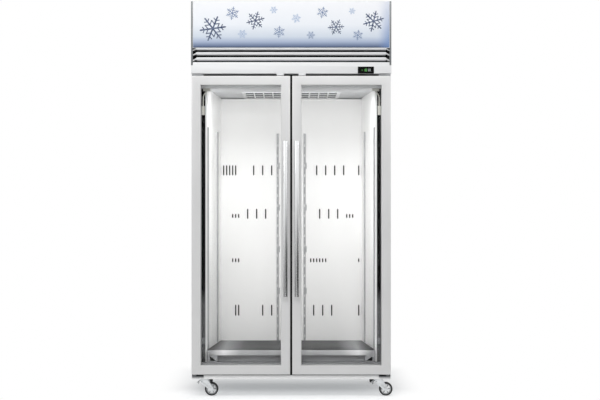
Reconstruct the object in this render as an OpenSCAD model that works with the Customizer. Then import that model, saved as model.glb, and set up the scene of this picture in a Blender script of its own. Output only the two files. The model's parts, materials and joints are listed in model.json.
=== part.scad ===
// Two-door upright display freezer for bagged ice, on swivel casters.
// Origin on the floor under the middle of the cabinet; front faces -Y, +Z is up. Millimetres.

/* [Cabinet] */
// Width over the side panels
body_w = 1100; // [1000:10:1200]
// Depth from the door face to the rear panel
body_d = 705; // [680:5:760]
// Height of the visible band below the doors
base_band_h = 27; // [25:1:40]
// Inset of the skirt below the doors from the door face
skirt_inset = 16.5; // [12:0.5:30]
// Gap between the skirt and the doors
skirt_gap = 5; // [3:0.5:8]
// Thickness of the insulated floor
floor_t = 86; // [78:1:95]
// Thickness of the insulated ceiling
ceiling_t = 74; // [70:1:90]
// Thickness of the outer steel sheets
sheet = 1.5; // [1:0.1:2]
// Thickness of the inner liner sheets
liner_t = 2; // [1.5:0.5:3]
// Insulation beside the front opening
jamb_t = 45; // [40:1:55]
// Step of the side walls inward behind the jamb
wall_step = 36; // [34:1:45]
// Taper of each side wall towards the back
wall_taper = 46; // [20:1:50]
// Depth behind the door face where the tapered walls start
wall_front_d = 96; // [94:1:110]
// Depth of the air space behind the slotted back panel
duct_d = 22; // [18:1:28]
// Insulation behind the rear liner
rear_wall_t = 79; // [70:1:90]
// Thickness of the front frame round the opening
front_frame_t = 6; // [4:1:8]
// Width of the centre mullion
mullion_w = 100; // [92:2:100]
// Depth of the centre mullion
mullion_d = 45; // [30:1:50]

/* [Doors] */
// Height of each door
door_h = 1640; // [1500:10:1700]
// Thickness of a door
door_t = 46; // [44:1:52]
// Gap between the two doors
door_gap = 11; // [8:1:14]
// Inset of a door from the side panel
door_inset = 3; // [2:0.5:5]
// Face width of the door frame
stile_w = 51; // [48:1:56]
// Corner radius of the frame profile
stile_r = 4; // [2:0.5:5]
// Thickness of the sealed glass unit
glass_unit_t = 24; // [20:1:26]
// Thickness of one glass pane
pane_t = 4; // [3:0.5:6]
// Depth of the glass in the frame groove
glass_bite = 12; // [9:1:14]
// Thickness of the frame lip in front of the glass
front_lip_t = 12; // [9:1:13]
// Gap that the door gasket fills
gasket_t = 8; // [6:0.5:9]
// Width of the door gasket
gasket_w = 16; // [12:1:18]
// Distance of the hinge axis from the outer edge of the door
hinge_inset = 18; // [16:1:20]
// Radius of a hinge pin
hinge_pin_r = 5; // [4:0.5:6]

/* [Handles] */
// Length of a handle bar
handle_len = 851; // [600:1:1000]
// Height of the lower end of a handle bar above the floor
handle_z = 560; // [500:10:600]
// Radius of a handle bar
handle_r = 12.5; // [10:0.5:13]
// How far a handle stands out from the door face
handle_reach = 40; // [36:1:50]
// Radius of a handle post
post_r = 7; // [5:0.5:8]
// Distance of a handle post from the end of the bar
post_inset = 45; // [30:1:80]

/* [Header] */
// Gap between the doors and the fascia
door_top_gap = 13; // [12:1:18]
// Height of the fascia
fascia_h = 62; // [58:1:80]
// Height of the louvre between fascia and sign
louvre_h = 78; // [72:1:90]
// Height of the sign
sign_h = 256; // [200:2:300]
// Depth of the header from the door face
header_d = 150; // [140:1:160]
// Width of a dark end cap
cap_w = 10; // [8:1:14]
// Thickness of the sign panel
sign_t = 4; // [3:0.5:5]
// Width of the controller bezel
controller_w = 88; // [76:1:95]
// Height of the controller bezel
controller_h = 37; // [34:1:45]
// Distance of the controller centre from the middle
controller_x = 410; // [360:1:430]

/* [Interior] */
// Height of the tray above the cavity floor
tray_h = 67; // [60:1:90]
// Depth of the turned-down lip of the tray
tray_lip = 29; // [20:1:35]
// Depth behind the door face where the tray starts
tray_front_d = 77; // [75:1:85]
// Width of a side pilaster
pilaster_w = 25; // [20:1:30]
// Width of a pilaster on the back panel
back_pilaster_w = 13; // [10:1:16]
// Depth of a pilaster
pilaster_t = 6; // [4:1:8]
// Distance of the pilasters' tops from the ceiling
pilaster_top_gap = 213; // [150:1:400]
// Distance of the back pilasters from the middle
back_pilaster_x = 80.6; // [70:1:90]
// Spacing of the punched air slots
slot_pitch = 18; // [16:0.5:20]
// Width of an air slot
slot_w = 8; // [5:0.5:10]
// Width of a light strip
light_w = 23; // [18:1:24]
// Depth of a light strip
light_d = 12; // [10:1:14]
// Distance of the light strips' tops from the ceiling
light_top_gap = 147; // [120:1:300]
// Distance of the light strips' lower ends from the cavity floor
light_bottom_gap = 135; // [80:5:200]

/* [Refrigeration unit] */
// Width of the ceiling air opening
vent_w = 540; // [480:10:560]
// Depth of the ceiling air opening
vent_d = 316; // [280:2:320]
// Height of the condenser coil
coil_h = 236; // [210:2:240]
// Number of fan blades
fan_blades = 5; // [3:1:7]
// Number of condenser fins
fin_count = 22; // [12:1:26]
// Radius of the compressor shell
compressor_r = 78; // [65:1:80]
// Height of the unit side covers
cover_h = 290; // [270:5:300]

/* [Casters] */
// Height from the floor to the underside of the cabinet
caster_h = 104; // [102:1:115]
// Radius of a wheel
wheel_r = 37.5; // [35:0.5:38]
// Width of a wheel
wheel_w = 25; // [20:1:30]
// Distance from the swivel axis to the wheel axle
caster_trail = 42; // [35:1:45]
// Distance of the swivel axes from the sides
caster_inset_x = 64; // [60:1:90]
// Distance of the front swivel axes from the cabinet front
caster_front_inset = 62; // [60:1:120]
// Distance of the rear swivel axes from the rear panel
caster_rear_inset = 100; // [90:1:140]
// Radius of a wheel axle
axle_r = 5; // [4:0.5:6]
// Radius of a king pin
king_r = 6; // [5:0.5:7]

/* [Fits] */
// Radial clearance of a pin in its bore
fit = 0.05; // [0.02:0.01:0.08]
// Gap between pieces that move past each other
run_gap = 0.3; // [0.2:0.05:0.5]

/* [Hidden] */

// Levels, from the floor up
base_z = caster_h;
door_z = base_z + base_band_h;
floor_z = base_z + floor_t;
fascia_z = door_z + door_h + door_top_gap;
deck_z = fascia_z;
ceiling_z = deck_z - ceiling_t;
cavity_h = ceiling_z - floor_z;
louvre_z = fascia_z + fascia_h;
sign_z = louvre_z + louvre_h;
total_h = sign_z + sign_h;
tray_z = floor_z + tray_h;
pilaster_h = ceiling_z - pilaster_top_gap - tray_z;

// Depths, from the front back; the origin is in the middle of the whole depth
face_y = -(body_d + handle_reach) / 2 + handle_reach;
rear_y = face_y + body_d;
cab_d = door_t + gasket_t;
cab_y = face_y + cab_d;
wall_front_y = face_y + wall_front_d;
rear_liner_y = rear_y - sheet - rear_wall_t;
duct_y = rear_liner_y - liner_t - duct_d;
header_y = face_y + header_d;

// Widths, each from the middle out
half_w = body_w / 2;
inner_w = half_w - sheet;
jamb_x = half_w - jamb_t;
wall_x_front = jamb_x - wall_step;
wall_x_back = wall_x_front - wall_taper;
door_in = door_gap / 2;
door_out = half_w - door_inset;
door_w = door_out - door_in;
door_mid_x = (door_in + door_out) / 2;
door_mid_z = door_z + door_h / 2;
hinge_x = door_out - hinge_inset;
hinge_y = face_y + door_t / 2;
handle_x = door_in + stile_w / 2;
handle_y = face_y - handle_reach + handle_r;

// Half width of the cavity at a place between the wall front and the duct panel
function wall_x(y) = wall_x_front - wall_taper * (y - wall_front_y) / (duct_y - wall_front_y);

eps = 0.01;
$fn = 40;

// ---------- shared shapes ----------

// A block between two corners
module block(lo, hi) {
    translate(lo) cube(hi - lo);
}

// The children and their mirror image on the other side of the cabinet
module both_sides() {
    children();
    mirror([1, 0, 0]) children();
}

// A rod from a point along X, Y or Z
module rod_x(p, r, l) { translate(p) rotate([0, 90, 0]) cylinder(r = r, h = l); }
module rod_y(p, r, l) { translate(p) rotate([-90, 0, 0]) cylinder(r = r, h = l); }
module rod_z(p, r, l) { translate(p) cylinder(r = r, h = l); }

// A rectangle whose corners are rounded by true arcs
module round_rect(w, h, r) {
    translate([r, 0]) square([w - 2 * r, h]);
    translate([0, r]) square([w, h - 2 * r]);
    for (x = [r, w - r], y = [r, h - r]) translate([x, y]) circle(r = r);
}

// A slab that stands in the XZ plane, its four edges shaped by the child and meeting in mitres.
// The child is the edge's section: X runs inward past the middle of the slab, Y runs back.
module mitred_slab(w, h) {
    module edge_pair(size) {
        intersection() {
            translate([-size / 2, 0]) children();
            translate([size / 2, 0]) mirror([1, 0]) children();
        }
    }
    intersection() {
        linear_extrude(h + 2, center = true) edge_pair(w) children();
        rotate([0, -90, 0]) linear_extrude(w + 2, center = true) edge_pair(h) children();
    }
}

// Plan of one side of the cavity, moved outward by t: the jamb, the step and the tapered wall
function side_path(t) = [
    [jamb_x + t, cab_y + front_frame_t],
    [jamb_x + t, wall_front_y + t],
    [wall_x_front + t, wall_front_y + t],
    [wall_x_back + t, duct_y],
    [wall_x_back + t, rear_liner_y]
];
function mirrored(points) = [for (i = [len(points) - 1:-1:0]) [-points[i][0], points[i][1]]];

// A closed loop of round tube through arcs and straight stretches uses these two pieces
module tube_bend(bend_r, tube_r, angle) {
    rotate_extrude(angle = angle) translate([bend_r, 0]) circle(r = tube_r);
}

// ---------- cabinet ----------

return_w = 18;
rib_h = 8;
rib_y = [-160, -50, 60, 170, 280];

// Upturned ribs of the base pan, which the floor foam grips
module pan_ribs(z) {
    for (y = rib_y) block([-inner_w + return_w, y, z], [inner_w - return_w, y + 2 * sheet, base_z + rib_h]);
}

// A folded strip under the doors, notched for the lower hinge brackets
module front_skirt() {
    skirt_y = face_y + skirt_inset;
    x1 = inner_w - run_gap;
    difference() {
        union() {
            block([-x1, skirt_y, base_z], [x1, skirt_y + sheet, door_z - skirt_gap]);
            block([-x1, skirt_y, base_z], [x1, cab_y, base_z + sheet]);
        }
        both_sides() block([hinge_x - 47, skirt_y - 1, base_z + 10], [hinge_x + 16, cab_y + 1, door_z]);
    }
}

module side_panels() {
    color("gainsboro") {
        both_sides() union() {
            block([inner_w, cab_y, base_z], [half_w, rear_y - sheet, deck_z]);
            block([inner_w - return_w, rear_y - 2 * sheet, base_z + sheet], [inner_w + eps, rear_y - sheet, deck_z - sheet]);
        }
        front_skirt();
    }
}

module rear_panel() {
    press_d = 4;
    color("lightgray") difference() {
        block([-half_w, rear_y - sheet, base_z], [half_w, rear_y, deck_z]);
        // Shallow pressed panel lines that stiffen the sheet
        for (z = [base_z + 200 : 400 : deck_z - 200])
            block([-half_w + 60, rear_y - sheet / 3, z], [half_w - 60, rear_y + eps, z + 2 * press_d]);
    }
}

module base_pan() {
    color("silver") union() {
        block([-inner_w, cab_y + front_frame_t, base_z], [inner_w, rear_y - 2 * sheet, base_z + sheet]);
        pan_ribs(base_z + sheet - eps);
    }
}

vent_y = duct_y - 8 - vent_d;

module top_deck() {
    color("silver") difference() {
        block([-inner_w, cab_y + front_frame_t, deck_z - sheet], [inner_w, rear_y - 2 * sheet, deck_z]);
        block([-vent_w / 2, vent_y, deck_z - 10], [vent_w / 2, rear_liner_y, deck_z + 10]);
    }
}

module insulation() {
    y0 = cab_y + front_frame_t;
    path = side_path(liner_t);
    color("khaki") difference() {
        block([-inner_w, y0, base_z + sheet], [inner_w, rear_y - 2 * sheet, deck_z - sheet]);
        // The cavity with its liner
        translate([0, 0, floor_z - liner_t]) linear_extrude(cavity_h + 2 * liner_t)
            polygon(concat([[-jamb_x - liner_t, y0 - 1], [jamb_x + liner_t, y0 - 1]], path, mirrored(path)));
        // The air opening through the roof
        block([-vent_w / 2, vent_y, ceiling_z], [vent_w / 2, rear_liner_y, deck_z]);
        pan_ribs(base_z);
        both_sides() block([inner_w - return_w, rear_y - 2 * sheet, base_z], [inner_w, rear_y, deck_z]);
    }
}

module liner_sides() {
    color("white") both_sides()
        translate([0, 0, floor_z]) linear_extrude(cavity_h)
            polygon(concat(side_path(0), [for (i = [4:-1:0]) side_path(liner_t)[i]]));
}

module liner_plate(z) {
    path = side_path(liner_t);
    y0 = cab_y + front_frame_t;
    translate([0, 0, z]) linear_extrude(liner_t)
        polygon(concat([[-jamb_x - liner_t, y0], [jamb_x + liner_t, y0]],
            [for (i = [1:4]) path[i]], [for (i = [4:-1:1]) [-path[i][0], path[i][1]]]));
}

module liner_ceiling() {
    color("gainsboro") difference() {
        liner_plate(ceiling_z);
        block([-vent_w / 2, vent_y, ceiling_z - 1], [vent_w / 2, rear_liner_y - liner_t, ceiling_z + 10]);
    }
}

module liner_floor() {
    color("gainsboro") liner_plate(floor_z - liner_t);
}

module liner_rear() {
    color("white") block([-wall_x_back, rear_liner_y - liner_t, floor_z], [wall_x_back, rear_liner_y, ceiling_z]);
}

module front_frame() {
    color("dimgray") difference() {
        block([-inner_w, cab_y, base_z], [inner_w, cab_y + front_frame_t, deck_z]);
        block([-jamb_x, cab_y - 1, floor_z], [jamb_x, cab_y + front_frame_t + 1, ceiling_z]);
    }
}

module centre_mullion() {
    edge_r = 5;
    color("dimgray") translate([-mullion_w / 2, cab_y, floor_z]) linear_extrude(cavity_h) difference() {
        round_rect(mullion_w, mullion_d, edge_r);
        // Two shallow channels for the heater wire behind the gasket faces
        for (x = [14, mullion_w - 14]) translate([x - 3, mullion_d - 4]) square([6, 8]);
    }
}

// ---------- interior ----------

// Rows of air slots: share of the cavity height, slot length and places in pitches from the middle
slot_rows = [
    [0.715, 60, [-23.5, -22.5, -21.5, -20.5, -19.5, -18.5, -12.5, -9.5, -6.5, 8.5, 11.5, 14.5, 17.5, 22.5, 23.5]],
    [0.5435, 60, [-14.5, -11.5, -8.5, 9.5, 12.5, 15.5]],
    [0.535, 24, [-19.5, -18.5, -17.5, 18.5, 19.5, 20.5]],
    [0.36, 24, [-19.5, -18.5, -17.5, 6.5, 7.5, 8.5, 9.5, 10.5, 11.5, 22.5, 23.5]],
    [0.163, 66, [-18.5, -17.5, -9.5, -6.5, 7.5, 10.5, 13.5, 22.5, 23.5]]
];
duct_panel_t = 2;

module air_duct_panel() {
    color("whitesmoke") union() {
        difference() {
            block([-wall_x_back, duct_y - duct_panel_t, tray_z - tray_lip], [wall_x_back, duct_y, ceiling_z - 6]);
            for (row = slot_rows, k = row[2])
                translate([k * slot_pitch, duct_y, floor_z + row[0] * cavity_h]) rotate([90, 0, 0])
                    linear_extrude(20, center = true) translate([-slot_w / 2, -row[1] / 2])
                        round_rect(slot_w, row[1], slot_w / 2 - eps);
        }
        // Side flanges that stand the panel off the rear liner
        both_sides() block([wall_x_back - duct_panel_t, duct_y - eps, tray_z - tray_lip],
            [wall_x_back, rear_liner_y - liner_t, ceiling_z - 6]);
    }
}

module ceiling_grille() {
    columns = 10;
    rows = 3;
    rim = 12;
    t = 4;
    bar = 7;
    pitch_x = (vent_w - bar) / columns;
    pitch_y = (vent_d - 20) / rows;
    color("lightgray") difference() {
        block([-vent_w / 2 - rim, vent_y - rim, ceiling_z - t], [vent_w / 2 + rim, duct_y - duct_panel_t, ceiling_z]);
        for (i = [0:columns - 1], j = [0:rows - 1])
            block([-vent_w / 2 + bar + i * pitch_x, vent_y + 8 + j * pitch_y, ceiling_z - t - 1],
                [-vent_w / 2 + (i + 1) * pitch_x, vent_y + j * pitch_y + pitch_y - 2, ceiling_z + 1]);
    }
}

tray_gap = 2;
tray_t = 2;

// Half width of the tray at a depth, clear of the tapered walls
function tray_x(y) = wall_x(max(y, wall_front_y)) - tray_gap;

module base_tray() {
    y0 = face_y + tray_front_d;
    y1 = duct_y - duct_panel_t - tray_gap;
    color("lightsteelblue") difference() {
        union() {
            translate([0, 0, tray_z - tray_t]) linear_extrude(tray_t) polygon([
                [-tray_x(y0), y0], [tray_x(y0), y0], [tray_x(wall_front_y), wall_front_y], [tray_x(y1), y1],
                [-tray_x(y1), y1], [-tray_x(wall_front_y), wall_front_y]
            ]);
            block([-tray_x(y0), y0, tray_z - tray_lip], [tray_x(y0), y0 + tray_t, tray_z - eps]);
            block([-tray_x(y1), y1 - tray_t, tray_z - tray_lip], [tray_x(y1), y1, tray_z - eps]);
        }
        // Notch round the centre mullion
        block([-mullion_w / 2 - tray_gap, y0 - 1, floor_z], [mullion_w / 2 + tray_gap, cab_y + mullion_d + tray_gap, tray_z + 1]);
    }
}

module tray_feet() {
    foot_w = 58;
    foot_t = 2;
    flange = 20;
    top = tray_z - tray_t;
    // An upright plate with a triangular window, on a flange that stands on the floor
    module foot(x, y, back) {
        y_flange = back ? y - flange : y;
        translate([x - foot_w, 0, 0]) union() {
            difference() {
                block([0, y, floor_z], [foot_w, y + foot_t, top]);
                translate([0, y + foot_t / 2, floor_z]) rotate([90, 0, 0]) linear_extrude(20, center = true)
                    polygon([[8, 8], [foot_w - 16, 8], [foot_w - 16, (top - floor_z) * 0.5]]);
            }
            block([0, y_flange, floor_z], [foot_w, y_flange + flange + foot_t, floor_z + foot_t]);
            block([0, y_flange, top - foot_t], [foot_w, y_flange + flange + foot_t, top]);
        }
    }
    front_y = face_y + tray_front_d + tray_t + run_gap;
    back_y = duct_y - duct_panel_t - tray_gap - tray_t - run_gap - foot_t;
    color("silver") both_sides() {
        foot(tray_x(front_y), front_y, false);
        foot(tray_x(back_y) - 10, back_y, true);
    }
}

module shelf_pilasters() {
    slot_step = 60;
    hook_w = 4;
    hook_h = 16;
    tab_w = 6;
    tab_h = 36;
    tab_pitch = pilaster_h / 4.96;
    tab_z = pilaster_h * 0.225;
    taper_angle = atan(wall_taper / (duct_y - wall_front_y));
    module slots(w, t) {
        for (z = [20 : slot_step : pilaster_h - hook_h - 10])
            translate([-hook_w / 2, -1, z]) cube([hook_w, t + 2, hook_h]);
    }
    module channel(w, t) {
        difference() {
            translate([-w / 2, 0, 0]) cube([w, t, pilaster_h]);
            translate([-w / 2 + 2, 1.5, -1]) cube([w - 4, t, pilaster_h + 2]);
            slots(w, t);
        }
    }
    color("white") {
        both_sides() for (y = [face_y + 121, face_y + 467])
            translate([wall_x(y) - 0.05, y, tray_z]) rotate([0, 0, -90 + taper_angle]) translate([0, -pilaster_t, 0])
                channel(pilaster_w, pilaster_t);
        for (x = [-back_pilaster_x, back_pilaster_x]) translate([x, duct_y - duct_panel_t - pilaster_t, tray_z]) {
            channel(back_pilaster_w, pilaster_t);
            // Four fixing tabs, turned out beside the channel
            for (i = [0:3]) translate([back_pilaster_w / 2 - eps, pilaster_t - 2, tab_z + i * tab_pitch])
                cube([tab_w, 2, tab_h]);
        }
    }
}

light_x = jamb_x - light_w - 4;

light_z0 = floor_z + light_bottom_gap;
light_z1 = ceiling_z - light_top_gap;

module light_housings() {
    channel_t = 1.5;
    y0 = wall_front_y - channel_t - light_d;
    y1 = wall_front_y - channel_t;
    color("black") both_sides() union() {
        // Channel that lines the step and the jamb behind the strip
        block([wall_x_front + run_gap, y1, floor_z], [jamb_x - run_gap, wall_front_y, ceiling_z]);
        block([jamb_x - channel_t, cab_y + front_frame_t, floor_z], [jamb_x - eps, wall_front_y, ceiling_z]);
        // Housing, open towards the goods where the diffuser sits
        difference() {
            block([light_x, y0, light_z0], [light_x + light_w, y1 + eps, light_z1]);
            block([light_x - 1, y0 + 3, light_z0 + 30], [light_x + 5, y1 - 3, light_z1 - 10]);
        }
    }
}

module light_diffusers() {
    color("white") both_sides()
        block([light_x + 1, wall_front_y - light_d + 1.5, light_z0 + 30], [light_x + 5, wall_front_y - 4.5, light_z1 - 10]);
}

module light_leads() {
    lead_r = 3;
    plug_w = 16;
    plug_h = 50;
    foot_plug_h = 34;
    bend_r = 40;
    x0 = light_x + light_w / 2;
    y1 = wall_front_y - 1.5;
    y0 = y1 - lead_r - 2;
    bend_z = ceiling_z - bend_r - 13;
    color("lightgray") both_sides() union() {
        block([x0 - plug_w / 2, y1 - light_d, light_z1], [x0 + plug_w / 2, y1, light_z1 + plug_h]);
        rod_z([x0, y0, light_z1 + plug_h - 1], lead_r, bend_z + 1 - light_z1 - plug_h);
        // The lead turns inward and up to the ceiling
        translate([x0 - bend_r, y0, bend_z]) rotate([90, 0, 0]) tube_bend(bend_r, lead_r, 40);
        translate([x0 - bend_r, y0, bend_z]) rotate([0, -40, 0]) translate([bend_r, 0, 0])
            cylinder(r = lead_r, h = 20);
        block([x0 - bend_r, y0 - 6, ceiling_z - 14], [x0, y0 + 5, ceiling_z]);
    }
    // End plug under each strip
    color("lightgray") both_sides()
        block([x0 - plug_w / 2, y1 - light_d, light_z0 - foot_plug_h], [x0 + plug_w / 2, y1, light_z0]);
}

bracket_t = 5;
bracket_len = 61;
pin_bite = 20;

module hinge_brackets() {
    bracket_y = hinge_y - 14;
    color("dimgray") both_sides() {
        // Lower bracket, with a cam that lifts the door
        union() {
            block([hinge_x - 46, bracket_y, door_z - 11 - bracket_t], [hinge_x + 15, cab_y, door_z - 11]);
            block([hinge_x - 46, cab_y - 3, base_z + 2], [hinge_x + 15, cab_y, door_z - 11]);
            rod_z([hinge_x, hinge_y, door_z - 12], 10, 12 - run_gap);
            rod_z([hinge_x, hinge_y, door_z - 12], hinge_pin_r, 12 + pin_bite);
        }
        // Upper bracket
        union() {
            block([hinge_x - 46, bracket_y, door_z + door_h + 3], [hinge_x + 15, cab_y, door_z + door_h + 3 + bracket_t]);
            block([hinge_x - 46, cab_y - 3, door_z + door_h + 3], [hinge_x + 15, cab_y, fascia_z - 1]);
            rod_z([hinge_x, hinge_y, door_z + door_h - pin_bite], hinge_pin_r, pin_bite + 4);
        }
    }
}

// ---------- header ----------

cap_notch = 17;

module fascia() {
    rim = 1.5;
    depth0 = face_y + 2;
    color("whitesmoke") difference() {
        union() {
            block([-half_w, depth0, fascia_z], [half_w, depth0 + rim, louvre_z]);
            block([-half_w, depth0, fascia_z], [half_w, header_y, fascia_z + rim]);
            both_sides() block([half_w - rim, depth0, fascia_z], [half_w, header_y, louvre_z]);
            // Folded top edge that carries the louvre
            block([-half_w, depth0, louvre_z - rim], [half_w, depth0 + 16, louvre_z]);
        }
        both_sides() block([half_w - cap_w, face_y - 1, louvre_z - cap_notch], [half_w + 1, header_y + 1, louvre_z + 1]);
        block([controller_x - controller_w / 2, face_y - 1, fascia_z - 1],
            [controller_x + controller_w / 2, face_y + 10, fascia_z + controller_h]);
    }
}

module louvre_panel() {
    end_w = 4;
    slat_d = 34;
    back_y = face_y + 60;
    x1 = half_w - cap_w;
    // Height of each slat's lower edge above the louvre's base, and its own height
    slats = [[9.5, 18.5], [40, 16], [68, 10]];
    module slat(z, h) {
        // A rounded nose over a flat underside that rises to the back
        translate([-x1, 0, 0]) rotate([90, 0, 90]) linear_extrude(2 * x1) union() {
            translate([face_y + h / 2, louvre_z + z + h / 2]) circle(r = h / 2);
            polygon([[face_y + h / 2, louvre_z + z], [face_y + h / 2, louvre_z + z + h],
                [face_y + slat_d + 26, louvre_z + z + h], [face_y + slat_d + 26, louvre_z + z + h - 2],
                [face_y + slat_d, louvre_z + z + h - 2], [face_y + slat_d - 12, louvre_z + z]]);
        }
    }
    color("gainsboro") union() {
        for (s = slats) slat(s[0], s[1]);
        both_sides() block([x1 - end_w, face_y + 4, louvre_z], [x1, back_y + 2, sign_z]);
        // Filter frame behind the slats
        difference() {
            block([-x1, back_y - eps, louvre_z], [x1, back_y + 2, sign_z]);
            for (i = [-10:9]) block([i * 52 + 4, back_y - 1, louvre_z + 10], [i * 52 + 48, back_y + 3, sign_z - 10]);
        }
    }
}

module header_end_caps() {
    edge = 3;
    color("gray") both_sides()
        translate([half_w - cap_w, face_y, louvre_z - cap_notch]) linear_extrude(total_h - louvre_z + cap_notch)
            union() {
                translate([0, edge]) square([cap_w, header_d - edge]);
                square([cap_w - edge, edge + eps]);
                translate([cap_w - edge, edge]) circle(r = edge);
            }
}

module sign_case() {
    x1 = half_w - cap_w;
    color("silver") difference() {
        block([-x1, face_y + 0.5, sign_z], [x1, header_y, total_h]);
        // Open to the front, where the sign panel closes it
        block([-x1 + sheet, face_y - 1, sign_z + sheet], [x1 - sheet, header_y - sheet, total_h - sheet]);
    }
}

module sign_panel() {
    x1 = half_w - cap_w - sheet;
    color("aliceblue") block([-x1, face_y + 0.5, sign_z + sheet], [x1, face_y + 0.5 + sign_t, total_h - sheet]);
}

module sign_lamp() {
    lamp_len = 940;
    lamp_r = 13;
    lamp_y = face_y + header_d / 2;
    lamp_z = sign_z + sign_h / 2;
    color("white") union() {
        rod_x([-lamp_len / 2, lamp_y, lamp_z], lamp_r, lamp_len);
        for (x = [-lamp_len / 2 - 14, lamp_len / 2]) {
            block([x, lamp_y - 16, lamp_z - 20], [x + 14, header_y - sheet, lamp_z + 20]);
        }
    }
}

module controller() {
    x0 = controller_x - controller_w / 2 + run_gap;
    x1 = controller_x + controller_w / 2 - run_gap;
    color("darkslategray") union() {
        difference() {
            block([x0, face_y, fascia_z], [x1, face_y + 6, fascia_z + controller_h - run_gap]);
            block([x0 + 8, face_y - 1, fascia_z + 8], [x1 - 8, face_y + 1, fascia_z + controller_h - 8]);
        }
        block([x0 + 8, face_y + 5, fascia_z + 1.5], [x1 - 8, face_y + 60, fascia_z + controller_h - 3]);
    }
}

// ---------- refrigeration unit ----------

// Half width of the evaporator case, and the rim of its lid
case_x = vent_w / 2 + 30;
case_rim = 6;
// The coil and its shroud fill the width between the case and the side cover
unit_gap = 2.5;
cover_gap = 14;
coil_w = inner_w - cover_gap - (case_x + case_rim + unit_gap);
unit_x = -(inner_w - cover_gap - coil_w / 2);
// Radius of the fan blades, inside the shroud's ring
fan_r = coil_w / 2 - 17;
coil_y = face_y + header_d + 12;
coil_t = 44;
coil_z = deck_z;
fan_y = coil_y + coil_t + 30;
fan_z = coil_z + coil_h / 2;

module condenser_coil() {
    rows = 4;
    tube_r = 4;
    fin_t = 1.2;
    plate_t = 2;
    pitch_z = coil_h / rows;
    fin_pitch = (coil_w - 2 * plate_t) / (fin_count + 1);
    color("slategray") translate([unit_x - coil_w / 2, coil_y, coil_z]) union() {
        for (i = [1:fin_count]) translate([i * fin_pitch + plate_t - fin_t / 2, 2, 2]) cube([fin_t, coil_t - 4, coil_h - 4]);
        for (x = [0, coil_w - plate_t]) translate([x, 0, 0]) cube([plate_t, coil_t, coil_h]);
        for (r = [0:rows - 1]) {
            z = (r + 0.5) * pitch_z;
            for (y = [coil_t * 0.28, coil_t * 0.72]) rod_x([0, y, z], tube_r, coil_w);
            // Return bends at both ends
            translate([coil_w, coil_t / 2, z]) rotate([0, 0, -90]) tube_bend(coil_t * 0.22, tube_r, 180);
            translate([0, coil_t / 2, z]) rotate([0, 0, 90]) tube_bend(coil_t * 0.22, tube_r, 180);
        }
        // Inlet boss on top of the fins
        rod_z([coil_w / 2 - compressor_r / 2, coil_t / 2, coil_h - 6], 7, 10);
    }
}

shroud_d = 54;
shroud_t = 1.5;
ring_r = fan_r + 5;

module condenser_shroud() {
    guard_r = [for (share = [0.28 : 0.23 : 0.97]) share * ring_r];
    color("gray") translate([unit_x, coil_y + coil_t, coil_z]) union() {
        difference() {
            block([-coil_w / 2, 0, 0], [coil_w / 2, shroud_d, coil_h]);
            block([-coil_w / 2 + shroud_t, -1, shroud_t], [coil_w / 2 - shroud_t, shroud_d - shroud_t, coil_h - shroud_t]);
            rod_y([0, -1, coil_h / 2], ring_r, shroud_d + 2);
        }
        // Fan ring
        difference() {
            rod_y([0, 18, coil_h / 2], ring_r + 1.5, shroud_d - 18);
            rod_y([0, 17, coil_h / 2], ring_r, shroud_d - 15);
        }
        // Wire guard: rings joined by spokes, behind the fan
        translate([0, shroud_d + 1.5, coil_h / 2]) rotate([-90, 0, 0]) {
            for (r = guard_r) rotate_extrude() translate([r, 0]) circle(r = 1.5, $fn = 16);
            for (a = [45 : 90 : 315]) rotate([0, 0, a]) translate([20, -1.5, -1.5]) cube([ring_r - 18, 3, 3]);
        }
    }
}

motor_r = 32;
motor_l = 48;
shaft_r = 4;

module condenser_motor() {
    y0 = fan_y + 32;
    color("black") difference() {
        union() {
            rod_y([unit_x, y0, fan_z], motor_r, motor_l);
            rod_y([unit_x, y0 - 8, fan_z], 14, 9);
            // Foot that stands the motor on the deck
            block([unit_x - 20, y0 + 10, deck_z], [unit_x + 20, y0 + 14, fan_z]);
            block([unit_x - 30, y0 + 10, deck_z], [unit_x + 30, y0 + 44, deck_z + 3]);
        }
        rod_y([unit_x, y0 - 9, fan_z], shaft_r + fit, 30);
    }
}

// A bladed rotor on a hub, turning about Y
module axial_rotor(r, blades, hub_r, chord, pitch) {
    rotate([-90, 0, 0]) union() {
        cylinder(r = hub_r, h = 18, center = true);
        intersection() {
            cylinder(r = r, h = 40, center = true);
            for (i = [0:blades - 1]) rotate([0, 0, i * 360 / blades])
                translate([hub_r - 4, 0, 0]) rotate([pitch, 0, 0]) linear_extrude(2, center = true)
                    polygon([[0, -chord / 3], [0, chord / 3], [r * 0.5, chord / 2], [r, chord * 0.75], [r, -chord * 0.5],
                        [r * 0.5, -chord / 2]]);
        }
    }
}

module condenser_fan() {
    color("dimgray") union() {
        translate([unit_x, fan_y, fan_z]) axial_rotor(fan_r, fan_blades, 22, 58, 28);
        rod_y([unit_x, fan_y, fan_z], shaft_r, 42);
    }
}

compressor_x = unit_x;
compressor_y = face_y + 480;
compressor_foot_h = 16;
compressor_h = 150;
suction_z = deck_z + 120;

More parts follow.
